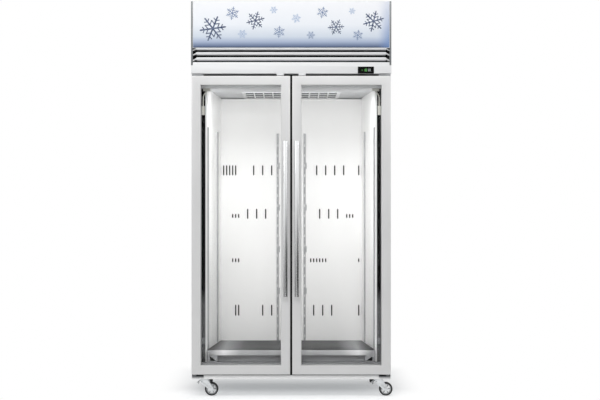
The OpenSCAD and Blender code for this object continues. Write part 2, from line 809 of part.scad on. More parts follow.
module compressor() {
    shell_h = compressor_h;
    foot_h = compressor_foot_h;
    z0 = deck_z + foot_h;
    shoulder_r = 31;
    dish_r = 16;
    color("black") translate([compressor_x, compressor_y, z0]) union() {
        // Drawn shell: round shoulders over a straight wall with a weld flange, and a dished bottom
        rotate_extrude() union() {
            translate([0, dish_r]) square([compressor_r, shell_h - dish_r - shoulder_r]);
            square([compressor_r - dish_r, dish_r + 1]);
            translate([compressor_r - dish_r, dish_r]) circle(r = dish_r);
            square([compressor_r - shoulder_r, shell_h]);
            translate([compressor_r - shoulder_r, shell_h - shoulder_r]) circle(r = shoulder_r);
            translate([0, 88]) square([compressor_r + 4, 4]);
        }
        // Mounting feet on grommets
        block([-compressor_r - 12, -compressor_r * 0.7, -4], [compressor_r + 12, -compressor_r * 0.7 + 36, 0.5]);
        block([-compressor_r - 12, compressor_r * 0.7 - 36, -4], [compressor_r + 12, compressor_r * 0.7, 0.5]);
        block([-30, -40, -4], [30, 40, 2]);
        // Stubs for the discharge line on the dome and the suction line on the side
        rod_z([-compressor_r / 2, 0, shell_h - shoulder_r], 7, shoulder_r + 6);
        rod_x([compressor_r - 10, 0, suction_z - z0], 8, 16);
        for (x = [-compressor_r, compressor_r], y = [-compressor_r * 0.7 + 18, compressor_r * 0.7 - 18])
            rod_z([x, y, -foot_h], 9, foot_h + 4);
        // Terminal cover
        block([-24, -compressor_r - 22, 40], [24, -compressor_r + 14, 82]);
    }
}

module refrigerant_pipes() {
    pipe_r = 4;
    bend = 24;
    coil_top = coil_z + coil_h + 4;
    over_z = coil_top + bend + 2;
    stub_top = deck_z + compressor_foot_h + compressor_h + 6;
    x1 = compressor_x - compressor_r / 2;
    coil_mid_y = coil_y + coil_t / 2;
    color("peru") {
        // Suction line: a short sleeved pipe from the shell into the evaporator case
        rod_x([compressor_x + compressor_r + 6, compressor_y, suction_z], 10, -case_x - compressor_x - compressor_r - 6);
        // Discharge line: up from the dome, forward over the shroud and down into the coil
        union() {
            rod_z([x1, compressor_y, stub_top], pipe_r, over_z - bend - stub_top);
            translate([x1, compressor_y - bend, over_z - bend]) rotate([90, 0, 90]) tube_bend(bend, pipe_r, 90);
            rod_y([x1, coil_mid_y + bend, over_z], pipe_r, compressor_y - coil_mid_y - 2 * bend);
            translate([x1, coil_mid_y + bend, over_z - bend]) rotate([90, 0, 90]) rotate([0, 0, 90])
                tube_bend(bend, pipe_r, 90);
            rod_z([x1, coil_mid_y, coil_top], pipe_r, over_z - bend - coil_top);
        }
        // Liquid line: from the shroud through the filter drier and round behind the shell to the case
        union() {
            x0 = compressor_x - compressor_r - 10;
            z0 = deck_z + 40;
            y0 = coil_y + coil_t + shroud_d;
            y1 = compressor_y + compressor_r + 24;
            rod_y([x0, y0, z0], pipe_r, y1 - y0);
            rod_y([x0, y0 + 50, z0], 14, 90);
            block([x0 - 6, y0 + 90, deck_z], [x0 + 6, y0 + 100, z0 - 10]);
            translate([x0 + bend, y1, z0]) rotate([0, 0, 90]) tube_bend(bend, pipe_r, 90);
            rod_x([x0 + bend, y1 + bend, z0], pipe_r, -case_x - x0 - bend);
        }
    }
}

case_wall = 25;
case_h = 190;

module evaporator_case() {
    x1 = case_x;
    y0 = vent_y - 30;
    y1 = rear_liner_y + 30;
    color("lightgray") difference() {
        union() {
            block([-x1, y0, deck_z], [x1, y1, deck_z + case_h]);
            // Lid with an overlapping rim
            block([-x1 - case_rim, y0 - case_rim, deck_z + case_h - 20], [x1 + case_rim, y1 + case_rim, deck_z + case_h + 4]);
        }
        block([-x1 + case_wall, y0 + case_wall, deck_z - 1], [x1 - case_wall, y1 - case_wall, deck_z + case_h - case_wall]);
    }
}

evap_fan_z = deck_z + 84;

module evaporator_coil() {
    fins = 18;
    depth = 130;
    h = 140;
    y0 = vent_y + 130;
    x1 = vent_w / 2 - 4;
    z0 = deck_z + case_h - case_wall - h - 0.3;
    color("silver") union() {
        for (i = [0:fins]) translate([-x1 + i * (2 * x1 - 1.5) / fins, y0, z0]) cube([1.5, depth, h]);
        for (r = [0:2], c = [0:2]) rod_x([-x1, y0 + 25 + c * 40, z0 + 25 + r * 45], 5, 2 * x1);
        // Hanger rails against the case roof
        for (y = [y0 + 10, y0 + depth - 14]) block([-x1, y, z0 + h - 1], [x1, y + 4, z0 + h + 0.3]);
        // Fan bulkhead in front of the coil
        difference() {
            block([-x1, y0 - 34, z0 + 4], [x1, y0 - 31, z0 + h + 0.3]);
            rod_y([0, y0 - 40, evap_fan_z], 62, 20);
        }
        // Motor that carries the fan shaft
        difference() {
            union() {
                rod_y([0, y0 - 26, evap_fan_z], 22, 20);
                block([-72, y0 - 31 - eps, evap_fan_z - 5], [-66, y0 - 8, evap_fan_z + 5]);
                block([-72, y0 - 12, evap_fan_z - 5], [0, y0 - 8, evap_fan_z + 5]);
            }
            rod_y([0, y0 - 27, evap_fan_z], shaft_r + fit, 20);
        }
    }
}

module evaporator_fan() {
    y0 = vent_y + 130;
    color("dimgray") union() {
        translate([0, y0 - 42, evap_fan_z]) axial_rotor(56, 5, 16, 34, 28);
        rod_y([0, y0 - 42, evap_fan_z], shaft_r, 32);
    }
}

module electrics_box() {
    x0 = vent_w / 2 + 60;
    x1 = inner_w - 20;
    y0 = face_y + 330;
    y1 = face_y + 560;
    h = 130;
    color("lightgray") difference() {
        union() {
            block([x0, y0, deck_z], [x1, y1, deck_z + h]);
            block([x0 - 3, y0 - 3, deck_z + h - 14], [x1 + 3, y1 + 3, deck_z + h + 1.5]);
            // Rear inlet body and a cable gland
            block([x0 + 30, y1 - eps, deck_z + 40], [x0 + 80, y1 + 8, deck_z + 74]);
            rod_y([x1 - 40, y1 - eps, deck_z + 56], 11, 18);
        }
        block([x0 + 41, y1 + 1, deck_z + 47], [x0 + 69, y1 + 9, deck_z + 67]);
        rod_y([x1 - 40, y1 + 2, deck_z + 56], 5, 20);
    }
}

module unit_side_covers() {
    flange = 20;
    color("gainsboro") both_sides() difference() {
        union() {
            block([half_w - sheet, header_y, deck_z], [half_w, rear_y, deck_z + cover_h]);
            block([half_w - flange, header_y, deck_z], [half_w, header_y + sheet, deck_z + cover_h]);
            block([half_w - flange, rear_y - sheet, deck_z], [half_w, rear_y, deck_z + cover_h]);
            block([half_w - flange, header_y, deck_z + cover_h - sheet], [half_w, rear_y, deck_z + cover_h]);
        }
        // Two banks of ventilation slots
        for (y = [header_y + 90, header_y + 330], i = [0:7])
            translate([half_w, y, deck_z + 60 + i * 24]) rotate([90, 0, 90]) linear_extrude(10, center = true)
                round_rect(130, 8, 3.99);
    }
}

module unit_rear_guard() {
    wire_r = 2;
    x1 = half_w - 20 - run_gap;
    y0 = rear_y - wire_r - 1 - sheet;
    pitch = (x1 - 12) / 6;
    color("silver") union() {
        for (z = [deck_z + wire_r + 1, deck_z + cover_h - 8]) rod_x([-x1, y0, z], wire_r + 1, 2 * x1);
        for (z = [deck_z + 40 : 42 : deck_z + cover_h - 20]) rod_x([-x1, y0, z], wire_r, 2 * x1);
        for (i = [-6:6]) block([i * pitch - 2.5, y0 - 2, deck_z], [i * pitch + 2.5, y0 + 2, deck_z + cover_h - 6]);
    }
}

// ---------- doors ----------

groove_v = front_lip_t;
groove_gap = run_gap;

// What is cut from the slab: the glass opening with its front bevel, and the groove for the glass unit
module door_opening() {
    bevel = 4;
    polygon([[stile_w - bevel - 1, -1], [stile_w, bevel], [stile_w, door_t + 1], [door_h, door_t + 1], [door_h, -1]]);
    translate([stile_w - glass_bite - groove_gap, groove_v]) square([door_h, glass_unit_t + 2 * groove_gap]);
}

module door_frame(side) {
    color("gainsboro") translate([side * door_mid_x, face_y, door_mid_z]) difference() {
        mitred_slab(door_w, door_h) round_rect(door_h, door_t, stile_r);
        mitred_slab(door_w, door_h) door_opening();
        for (z = [-door_h / 2 - 1, door_h / 2 - pin_bite - 2])
            rod_z([side * (hinge_x - door_mid_x), door_t / 2, z], hinge_pin_r + fit, pin_bite + 3);
    }
}

glass_w = door_w - 2 * (stile_w - glass_bite);
glass_h = door_h - 2 * (stile_w - glass_bite);
glass_y = face_y + groove_v + groove_gap;

module door_glass(side) {
    color("lightcyan", 0.3) translate([side * door_mid_x, 0, door_mid_z])
        for (y = [glass_y, glass_y + glass_unit_t - pane_t])
            block([-glass_w / 2, y, -glass_h / 2], [glass_w / 2, y + pane_t, glass_h / 2]);
}

module glass_spacer(side) {
    spacer_w = 9;
    x1 = glass_w / 2 - 3;
    z1 = glass_h / 2 - 3;
    gap = glass_unit_t - 2 * pane_t;
    color("gray") translate([side * door_mid_x, glass_y + pane_t, door_mid_z]) difference() {
        block([-x1, 0, -z1], [x1, gap, z1]);
        block([spacer_w - x1, -1, spacer_w - z1], [x1 - spacer_w, gap + 1, z1 - spacer_w]);
    }
}

gasket_u = hinge_inset + 4;

module door_gasket(side) {
    t = gasket_t - run_gap;
    w = door_w - 2 * gasket_u;
    h = door_h - 2 * gasket_u;
    // Section: a flat base, a neck and a rounded lip
    module section(width) {
        square([width, 2.5]);
        translate([3, 0]) square([width - 6, t - 2]);
        translate([1, t - 4]) round_rect(width - 2, 4, 1.9);
    }
    color("gray") translate([side * door_mid_x, face_y + door_t, door_mid_z]) difference() {
        mitred_slab(w, h) section(h);
        mitred_slab(w, h) difference() {
            translate([gasket_w / 2, -1]) square([h, t + 2]);
            section(gasket_w);
        }
    }
}

module door_handle(side) {
    end_r = handle_r * 0.6;
    color("silver") union() {
        translate([side * handle_x, handle_y, handle_z]) rotate_extrude() intersection() {
            square([handle_r, handle_len]);
            union() {
                translate([0, end_r]) square([handle_r, handle_len - 2 * end_r]);
                square([handle_r - end_r, handle_len]);
                for (z = [end_r, handle_len - end_r]) translate([handle_r - end_r, z]) circle(r = end_r);
            }
        }
        for (z = [handle_z + post_inset, handle_z + handle_len - post_inset])
            rod_y([side * handle_x, handle_y, z], post_r, face_y - handle_y);
    }
}

// ---------- casters ----------

race_r = 27;
race_h = 9;
plate_t = 3;
fork_leg_t = 3;
leg_gap = 2;
fork_top_z = base_z - plate_t - race_h - run_gap;
crown_h = 5;
leg_y = wheel_w / 2 + leg_gap;

// Swivel axis of a caster; side is -1 on the left and 1 on the right, rear is 0 or 1
function caster_pos(side, rear) = [
    side * (half_w - caster_inset_x),
    rear == 1 ? rear_y - caster_rear_inset : cab_y + caster_front_inset,
    0
];
// Wheel direction from the swivel axis: the front pair trail to the right, the rear pair to the back
function caster_turn(rear) = rear == 1 ? 90 : 0;

module at_caster(side, rear) {
    translate(caster_pos(side, rear)) rotate([0, 0, caster_turn(rear)]) children();
}

module caster_plates() {
    color("silver") for (side = [-1, 1], rear = [0, 1]) at_caster(side, rear) difference() {
        union() {
            translate([-44, -35, base_z - plate_t]) linear_extrude(plate_t) round_rect(88, 70, 8);
            rod_z([0, 0, base_z - plate_t - race_h], race_r, race_h + eps);
        }
        rod_z([0, 0, base_z - plate_t - race_h - 1], king_r + fit, race_h + 1);
        for (x = [-34, 34], y = [-25, 25]) rod_z([x, y, base_z - plate_t - 1], 4.2, plate_t + 2);
    }
}

module caster_fork(side, rear) {
    color("gainsboro") at_caster(side, rear) difference() {
        union() {
            rod_z([0, 0, fork_top_z - crown_h], race_r - 1, crown_h);
            rod_z([0, 0, fork_top_z - eps], king_r, race_h);
            // Crown bridge and the two legs that reach back and down to the axle
            block([-12, -leg_y - fork_leg_t, fork_top_z - crown_h], [24, leg_y + fork_leg_t, fork_top_z - 1]);
            for (y = [-leg_y, leg_y + fork_leg_t]) translate([0, y, 0]) rotate([90, 0, 0]) linear_extrude(fork_leg_t) union() {
                translate([caster_trail, wheel_r]) circle(r = 12);
                polygon([[-18, fork_top_z - 1], [24, fork_top_z - 1], [caster_trail + 11, wheel_r + 5],
                    [caster_trail - 8, wheel_r - 9], [-18, fork_top_z - 16]]);
            }
            // Axle with its head and nut
            rod_y([caster_trail, -leg_y - fork_leg_t - 4, wheel_r], axle_r, 2 * (leg_y + fork_leg_t) + 8);
            for (y = [-leg_y - fork_leg_t - 4, leg_y + fork_leg_t - eps])
                translate([caster_trail, y, wheel_r]) rotate([-90, 0, 0]) cylinder(r = 8, h = 4 + eps, $fn = 6);
        }
        if (rear == 0) rod_y([-12, -leg_y - 10, fork_top_z - 11], 3 + fit, 2 * leg_y + 20);
    }
}

module caster_wheel(side, rear) {
    web = 7;
    color("dimgray") at_caster(side, rear) translate([caster_trail, 0, wheel_r]) rotate([90, 0, 0]) rotate_extrude() difference() {
        union() {
            // Tyre with a rounded tread
            translate([wheel_r - 9, -wheel_w / 2 + 3]) square([9, wheel_w - 6]);
            translate([wheel_r - 9, -wheel_w / 2]) square([6, wheel_w]);
            for (v = [-1, 1]) translate([wheel_r - 3, v * (wheel_w / 2 - 3)]) circle(r = 3);
            translate([axle_r + fit, -web / 2]) square([wheel_r - 9 - axle_r, web]);
            translate([wheel_r - 15, -wheel_w / 2 + 2]) square([6 + eps, wheel_w - 4]);
            translate([axle_r + fit, -wheel_w / 2]) square([6, wheel_w]);
        }
    }
}

module brake_pedal(side) {
    pivot = [-12, 0, fork_top_z - 11];
    arm_w = 2 * leg_y - 1;
    color("gray") at_caster(side, 0) translate(pivot) union() {
        // Pivot pin through both legs
        rod_y([0, -leg_y - fork_leg_t - 1, 0], 3, 2 * (leg_y + fork_leg_t) + 2);
        // Tread plate with a curled tip
        rotate([90, 0, 0]) linear_extrude(arm_w, center = true) union() {
            circle(r = 5);
            polygon([[0, 5], [0, 2], [-14, 0], [-22, -6], [-24, -4], [-16, 3]]);
            // Shoe arm that swings to the tread when the pedal is pressed
            polygon([[-4, -2], [4, -3], [18, -21], [18, -25], [13, -24]]);
            translate([-22, -10]) difference() {
                circle(r = 6);
                circle(r = 3.5);
                translate([-8, -8]) square([8, 8]);
            }
        }
    }
}

// ---------- assembly ----------

side_panels();
rear_panel();
base_pan();
top_deck();
insulation();
liner_sides();
liner_ceiling();
liner_floor();
liner_rear();
front_frame();
centre_mullion();
air_duct_panel();
ceiling_grille();
base_tray();
tray_feet();
shelf_pilasters();
light_housings();
light_diffusers();
light_leads();
hinge_brackets();
fascia();
louvre_panel();
sign_case();
sign_panel();
header_end_caps();
sign_lamp();
controller();
compressor();
condenser_coil();
condenser_shroud();
condenser_motor();
condenser_fan();
refrigerant_pipes();
electrics_box();
evaporator_case();
evaporator_coil();
evaporator_fan();
unit_side_covers();
unit_rear_guard();
door_frame(-1);  // door_frame_left
door_glass(-1);  // door_glass_left
glass_spacer(-1);  // glass_spacer_left
door_gasket(-1);  // door_gasket_left
door_handle(-1);  // door_handle_left
door_frame(1);  // door_frame_right
door_glass(1);  // door_glass_right
glass_spacer(1);  // glass_spacer_right
door_gasket(1);  // door_gasket_right
door_handle(1);  // door_handle_right
caster_plates();
caster_fork(-1, 0);  // caster_fork_front_left
caster_fork(1, 0);  // caster_fork_front_right
caster_fork(-1, 1);  // caster_fork_rear_left
caster_fork(1, 1);  // caster_fork_rear_right
caster_wheel(-1, 0);  // caster_wheel_front_left
caster_wheel(1, 0);  // caster_wheel_front_right
caster_wheel(-1, 1);  // caster_wheel_rear_left
caster_wheel(1, 1);  // caster_wheel_rear_right
brake_pedal(-1);  // brake_pedal_left
brake_pedal(1);  // brake_pedal_right
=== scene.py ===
# Two-door upright display freezer for bagged ice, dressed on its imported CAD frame.
# Everything is in metres, in the frame of the CAD: the front faces -Y and +Z is up.
import json
import math
import bpy
from mathutils import Matrix, Vector

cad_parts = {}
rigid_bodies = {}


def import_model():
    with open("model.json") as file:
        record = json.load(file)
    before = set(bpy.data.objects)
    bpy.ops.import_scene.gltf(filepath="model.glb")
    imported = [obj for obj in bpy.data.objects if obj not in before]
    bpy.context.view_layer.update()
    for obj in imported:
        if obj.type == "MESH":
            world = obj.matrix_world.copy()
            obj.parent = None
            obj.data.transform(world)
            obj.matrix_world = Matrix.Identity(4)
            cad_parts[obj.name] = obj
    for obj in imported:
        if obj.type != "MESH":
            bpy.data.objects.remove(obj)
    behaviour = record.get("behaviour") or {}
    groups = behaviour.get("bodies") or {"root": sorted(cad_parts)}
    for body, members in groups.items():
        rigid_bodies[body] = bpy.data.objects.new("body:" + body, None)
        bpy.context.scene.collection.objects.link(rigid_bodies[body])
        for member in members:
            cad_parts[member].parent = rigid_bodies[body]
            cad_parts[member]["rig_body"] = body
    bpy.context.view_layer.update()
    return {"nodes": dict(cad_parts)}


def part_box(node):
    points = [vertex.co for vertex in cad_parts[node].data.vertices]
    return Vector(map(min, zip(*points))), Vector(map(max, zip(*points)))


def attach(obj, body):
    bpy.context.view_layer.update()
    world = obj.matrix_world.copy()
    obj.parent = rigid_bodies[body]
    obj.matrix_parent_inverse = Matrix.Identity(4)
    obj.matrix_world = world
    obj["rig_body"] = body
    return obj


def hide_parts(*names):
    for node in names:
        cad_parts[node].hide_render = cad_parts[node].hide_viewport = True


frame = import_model()
nodes = frame["nodes"]
mm = 0.001


# ---------- camera ----------
# A long lens in front of the cabinet, level with its middle. The frame is cropped a little
# to the right and upward of the lens axis, so the picture plane stays upright.
door_face_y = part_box("door_frame_left")[0][1]
camera_distance = 6.4
camera_height = 0.988

camera = bpy.data.cameras.new("camera")
camera.lens = 70.0
camera.sensor_width = 36.0
camera.shift_x = 0.0147
camera.shift_y = 0.0308
camera_object = bpy.data.objects.new("camera", camera)
camera_object.location = (0.0, door_face_y - camera_distance, camera_height)
camera_object.rotation_euler = (math.radians(90), 0.0, 0.0)
bpy.context.collection.objects.link(camera_object)
bpy.context.scene.camera = camera_object
bpy.context.scene.view_settings.view_transform = "Standard"


# ---------- studio ----------
# A white sweep: a pale floor that fades into a white room, one big soft box high in front and a
# weaker one on each side and behind.


def linear(hex_colour):
    """The linear RGBA of an sRGB hex colour."""
    parts = [int(hex_colour[i:i + 2], 16) / 255 for i in (1, 3, 5)]
    return [p / 12.92 if p <= 0.04045 else ((p + 0.055) / 1.055) ** 2.4 for p in parts] + [1.0]


def new_material(name):
    """An empty node material."""
    material = bpy.data.materials.new(name)
    material.use_nodes = True
    material.node_tree.nodes.clear()
    return material


def add_node(owner, kind, values={}, links={}, **settings):
    """Adds a shader node to a material or world, with its settings, socket values and links to its inputs."""
    tree = owner.node_tree
    node = tree.nodes.new("ShaderNode" + kind)
    for name, value in settings.items():
        setattr(node, name, value)
    for socket, value in values.items():
        node.inputs[socket].default_value = value
    for socket, source in links.items():
        tree.links.new(source, node.inputs[socket])
    return node


def deselect():
    """Nothing is selected, so the next operator acts on its own new piece alone."""
    if bpy.context.mode != "OBJECT":
        bpy.ops.object.mode_set(mode="OBJECT")
    bpy.ops.object.select_all(action="DESELECT")


# The world is the white room that the camera, metal and glass see. It lights the cabinet less brightly.
world = bpy.data.worlds.new("white_room")
bpy.context.scene.world = world
world.use_nodes = True
world.node_tree.nodes.clear()
room_light = 0.42
path = add_node(world, "LightPath")
seen = add_node(world, "Math", links={0: path.outputs["Is Camera Ray"], 1: path.outputs["Is Glossy Ray"]},
                operation="MAXIMUM")
seen = add_node(world, "Math", links={0: seen.outputs[0], 1: path.outputs["Is Transmission Ray"]},
                operation="MAXIMUM")
level = add_node(world, "MapRange", {"To Min": room_light, "To Max": 1.0}, {"Value": seen.outputs[0]})
room = add_node(world, "Background", {"Color": linear("#FFFFFF")}, {"Strength": level.outputs[0]})
add_node(world, "OutputWorld", links={"Surface": room.outputs[0]})

# The floor is matt white. It is lit like the rest under the cabinet and fades to the white of the room,
# soonest at the sides, and a faint glow that grows towards the front keeps the shadow there soft.
floor_paint = new_material("matt_white_floor")
fade_from, fade_to = 0.7, 1.35
side_fade_from, side_fade_to = 0.53, 0.78
glow_back, glow_front = 0.08, -0.18
place = add_node(floor_paint, "TexCoord")
far = add_node(floor_paint, "VectorMath", links={0: place.outputs["Object"]}, operation="LENGTH")
fade = add_node(floor_paint, "MapRange", {"From Min": fade_from, "From Max": fade_to},
                {"Value": far.outputs["Value"]}, interpolation_type="SMOOTHSTEP")
axes = add_node(floor_paint, "SeparateXYZ", links={0: place.outputs["Object"]})
across = add_node(floor_paint, "Math", links={0: axes.outputs["X"]}, operation="ABSOLUTE")
side_fade = add_node(floor_paint, "MapRange", {"From Min": side_fade_from, "From Max": side_fade_to},
                     {"Value": across.outputs[0]}, interpolation_type="SMOOTHSTEP")
fade = add_node(floor_paint, "Math", links={0: fade.outputs[0], 1: side_fade.outputs[0]}, operation="MAXIMUM")
path = add_node(floor_paint, "LightPath")
lit = add_node(floor_paint, "BsdfDiffuse", {"Color": linear("#E4E5E6")})
ahead = add_node(floor_paint, "MapRange", {"From Min": glow_back, "From Max": glow_front, "To Min": 0.24,
                                           "To Max": 0.42},
                 {"Value": axes.outputs["Y"]}, interpolation_type="SMOOTHSTEP")
glow = add_node(floor_paint, "Emission", {"Color": linear("#FFFFFF")}, {"Strength": ahead.outputs[0]})
lit_floor = add_node(floor_paint, "AddShader", links={0: lit.outputs[0], 1: glow.outputs[0]})
white = add_node(floor_paint, "Emission", {"Color": linear("#FFFFFF"), "Strength": 1.0})
seen_floor = add_node(floor_paint, "MixShader", links={0: fade.outputs[0], 1: lit_floor.outputs[0],
                                                       2: white.outputs[0]})
plain = add_node(floor_paint, "MixShader", links={0: path.outputs["Is Diffuse Ray"], 1: seen_floor.outputs[0],
                                                  2: lit.outputs[0]})
add_node(floor_paint, "OutputMaterial", links={"Surface": plain.outputs[0]})

deselect()
bpy.ops.mesh.primitive_circle_add(vertices=96, radius=40.0, fill_type="NGON")
floor = bpy.context.object
floor.name = "studio_floor"
floor.data.materials.append(floor_paint)

# Grey cards stand low at the sides and in front, seen only in reflections. They give round polished
# metal its dark stripe, deeper towards the floor.
# Name, middle, turn in degrees, width, darkest level, heights where the fade to white starts and ends:
grey_cards = [("grey_card_right", (3.5, -1.85), 90, 6.3, 0.04, 0.55, 1.45),
              ("grey_card_left", (-3.5, -1.85), 90, 6.3, 0.15, 0.25, 1.3),
              ("grey_card_front", (1.2, -7.4), 0, 8.2, 0.09, 0.3, 1.8)]
for name, (x, y), turn, width, darkest, fade_foot, card_top in grey_cards:
    card_paint = new_material(name)
    place = add_node(card_paint, "TexCoord")
    axes = add_node(card_paint, "SeparateXYZ", links={0: place.outputs["Object"]})
    level = add_node(card_paint, "MapRange", {"From Min": fade_foot, "From Max": card_top, "To Min": darkest},
                     {"Value": axes.outputs["Z"]}, interpolation_type="SMOOTHSTEP")
    shine = add_node(card_paint, "Emission", {"Color": linear("#FFFFFF")}, {"Strength": level.outputs[0]})
    add_node(card_paint, "OutputMaterial", links={"Surface": shine.outputs[0]})
    deselect()
    bpy.ops.mesh.primitive_plane_add(size=1.0)
    card = bpy.context.object
    card.name = name
    card.data.transform(Matrix.Translation((x, y, card_top / 2)) @ Matrix.Rotation(math.radians(turn), 4, "Z")
                        @ Matrix.Diagonal((width, 1, card_top, 1)) @ Matrix.Rotation(math.radians(90), 4, "X"))
    card.data.materials.append(card_paint)
    for kind in ("camera", "diffuse", "transmission", "volume_scatter", "shadow"):
        setattr(card, "visible_" + kind, False)


def rectangular_lamp(name, size, watts):
    """An area lamp of that size, linked to the scene."""
    lamp = bpy.data.lights.new(name, "AREA")
    lamp.shape = "RECTANGLE"
    lamp.size, lamp.size_y = size
    lamp.energy = watts
    lamp_object = bpy.data.objects.new(name, lamp)
    bpy.context.collection.objects.link(lamp_object)
    return lamp_object


# Name, place, size, watts of the soft boxes, which all face the middle of the cabinet:
cabinet_middle = Vector((0, 0, 1.1))
soft_boxes = [
    ("soft_box_top", (-0.6, -4.2, 4.3), (4.2, 2.0), 118.0),
    ("soft_box_left", (-4.6, -2.2, 3.0), (2.4, 3.2), 34.0),
    ("soft_box_right", (4.8, -1.2, 3.2), (2.4, 3.2), 20.0),
    ("soft_box_back", (0.8, 4.6, 3.6), (4.0, 2.4), 60.0),
]
for name, spot, size, watts in soft_boxes:
    soft_box = rectangular_lamp(name, size, watts)
    soft_box.location = spot
    soft_box.rotation_euler = (cabinet_middle - Vector(spot)).to_track_quat("-Z", "Y").to_euler()

# Two upright strip lamps behind the light housings and one across under the front of the ceiling
# light the cavity, as the cabinet's own lamps do. Middle, long axis, length, direction, watts:
housing_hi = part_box("light_housings")[1]
lamp_x, lamp_y = housing_hi[0] - 75 * mm, housing_hi[1] + 25 * mm
upright_z, cross_z = housing_hi[2] - 0.47, housing_hi[2] - 0.05
lamp_w = 20 * mm
cavity_lamps = [((-lamp_x, lamp_y, upright_z), (0, 0, 1), 0.9, (0.35, 1.0, 0.0), 0.66),
                ((lamp_x, lamp_y, upright_z), (0, 0, 1), 0.9, (-0.35, 1.0, 0.0), 0.66),
                ((0, lamp_y, cross_z), (1, 0, 0), 0.84, (0.0, 1.0, -0.9), 0.88)]
for middle, long_axis, length, aim, watts in cavity_lamps:
    cavity_lamp = rectangular_lamp("cavity_lamp", (lamp_w, length), watts)
    back, along = -Vector(aim).normalized(), Vector(long_axis)
    turn = Matrix((along.cross(back), along, back)).transposed().to_4x4()
    cavity_lamp.matrix_world = Matrix.Translation(middle) @ turn
    cavity_lamp.visible_camera = cavity_lamp.visible_transmission = False


# ---------- outer shell ----------
# Side panels and the folded covers of the unit are prepainted steel sheet, white and half gloss.
# The paint has a faint orange peel, and large sheets are never quite even in tone.


def dress(material, *names):
    """Gives CAD nodes a material in their own slots."""
    for name in names:
        for slot in nodes[name].material_slots:
            slot.material = material


def per_mm(size):
    """Pattern scale for a feature of that many millimetres."""
    return 1 / (size * mm)


def finish_piece(piece, name, material, body, angle=35):
    """Names a modelled piece, smooths it, gives it its material and slot and hangs it on its body."""
    deselect()
    piece.select_set(True)
    bpy.context.view_layer.objects.active = piece
    bpy.ops.object.transform_apply(location=True, rotation=True, scale=True)
    bpy.ops.object.shade_smooth_by_angle(angle=math.radians(angle))
    piece.name = name
    piece.data.materials.clear()
    piece.data.materials.append(material)
    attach(piece, body)
    return piece


def refine(material, edge, *names, segments=2):
    """Shows a copy of each CAD node in its place: triangles merged into flats, and every sharp edge rounded."""
    for name in names:
        deselect()
        piece = bpy.data.objects.new("refined_" + name, nodes[name].data.copy())
        bpy.context.collection.objects.link(piece)
        piece.select_set(True)
        bpy.context.view_layer.objects.active = piece
        bpy.ops.object.mode_set(mode="EDIT")
        bpy.ops.mesh.select_all(action="SELECT")
        bpy.ops.mesh.remove_doubles(threshold=0.01 * mm)
        bpy.ops.mesh.dissolve_limited(angle_limit=math.radians(1), delimit=set())
        bpy.ops.object.mode_set(mode="OBJECT")
        if edge:
            rounding = piece.modifiers.new("rounded_edges", "BEVEL")
            rounding.width = edge
            rounding.segments = segments
            rounding.limit_method = "ANGLE"
            rounding.angle_limit = math.radians(40)
            bpy.ops.object.modifier_apply(modifier="rounded_edges")
        finish_piece(piece, "refined_" + name, material, nodes[name]["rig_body"], angle=45)
        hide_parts(name)


white_paint = new_material("prepainted_steel_white")
place = add_node(white_paint, "TexCoord")
peel = add_node(white_paint, "TexNoise", {"Scale": per_mm(3), "Detail": 2.0}, {"Vector": place.outputs["Object"]})
cloud = add_node(white_paint, "TexNoise", {"Scale": per_mm(420), "Detail": 2.0},
                 {"Vector": place.outputs["Object"]})
tone = add_node(white_paint, "Mix", {6: linear("#E6E7E8"), 7: linear("#EEEFF0")}, {0: cloud.outputs[0]},
                data_type="RGBA")
# Where the sheet closes the front of the base, below and in front of these, it is painted a purer white: painted
# light that lifts it out of the shade under the doors
painted_light_band_top, painted_light_band_back = 127 * mm, -270 * mm
axes = add_node(white_paint, "SeparateXYZ", links={0: place.outputs["Object"]})
low = add_node(white_paint, "Math", {1: painted_light_band_top}, {0: axes.outputs["Z"]}, operation="LESS_THAN")
ahead = add_node(white_paint, "Math", {1: painted_light_band_back}, {0: axes.outputs["Y"]}, operation="LESS_THAN")
painted_light_band = add_node(white_paint, "Math", links={0: low.outputs[0], 1: ahead.outputs[0]}, operation="MULTIPLY")
tone = add_node(white_paint, "Mix", {7: linear("#FCFCFC")}, {0: painted_light_band.outputs[0], 6: tone.outputs[2]},
                data_type="RGBA")
sheen = add_node(white_paint, "MapRange", {"To Min": 0.30, "To Max": 0.40}, {"Value": cloud.outputs[0]})
relief = add_node(white_paint, "Bump", {"Strength": 0.12, "Distance": 0.05 * mm}, {"Height": peel.outputs[0]})
coat = add_node(white_paint, "BsdfPrincipled", {"IOR": 1.5},
                {"Base Color": tone.outputs[2], "Roughness": sheen.outputs[0], "Normal": relief.outputs[0]})
add_node(white_paint, "OutputMaterial", links={"Surface": coat.outputs[0]})
dress(white_paint, "unit_side_covers")
refine(white_paint, 0.6 * mm, "side_panels", "sign_case", "fascia")

# The rear panel, base pan and top deck are bare hot-dip galvanised sheet: dull grey zinc in flat
# crystals a centimetre or two across, each a little lighter or darker.
zinc = new_material("galvanised_sheet")
place = add_node(zinc, "TexCoord")
crystals = add_node(zinc, "TexVoronoi", {"Scale": per_mm(14)}, {"Vector": place.outputs["Object"]})
tone = add_node(zinc, "Mix", {6: linear("#A9AEB1"), 7: linear("#C6CACC")}, {0: crystals.outputs["Color"]},
                data_type="RGBA")
dullness = add_node(zinc, "MapRange", {"To Min": 0.42, "To Max": 0.58}, {"Value": crystals.outputs["Color"]})
metal = add_node(zinc, "BsdfPrincipled", {"Metallic": 1.0},
                 {"Base Color": tone.outputs[2], "Roughness": dullness.outputs[0]})
add_node(zinc, "OutputMaterial", links={"Surface": metal.outputs[0]})
dress(zinc, "rear_panel", "base_pan", "top_deck")

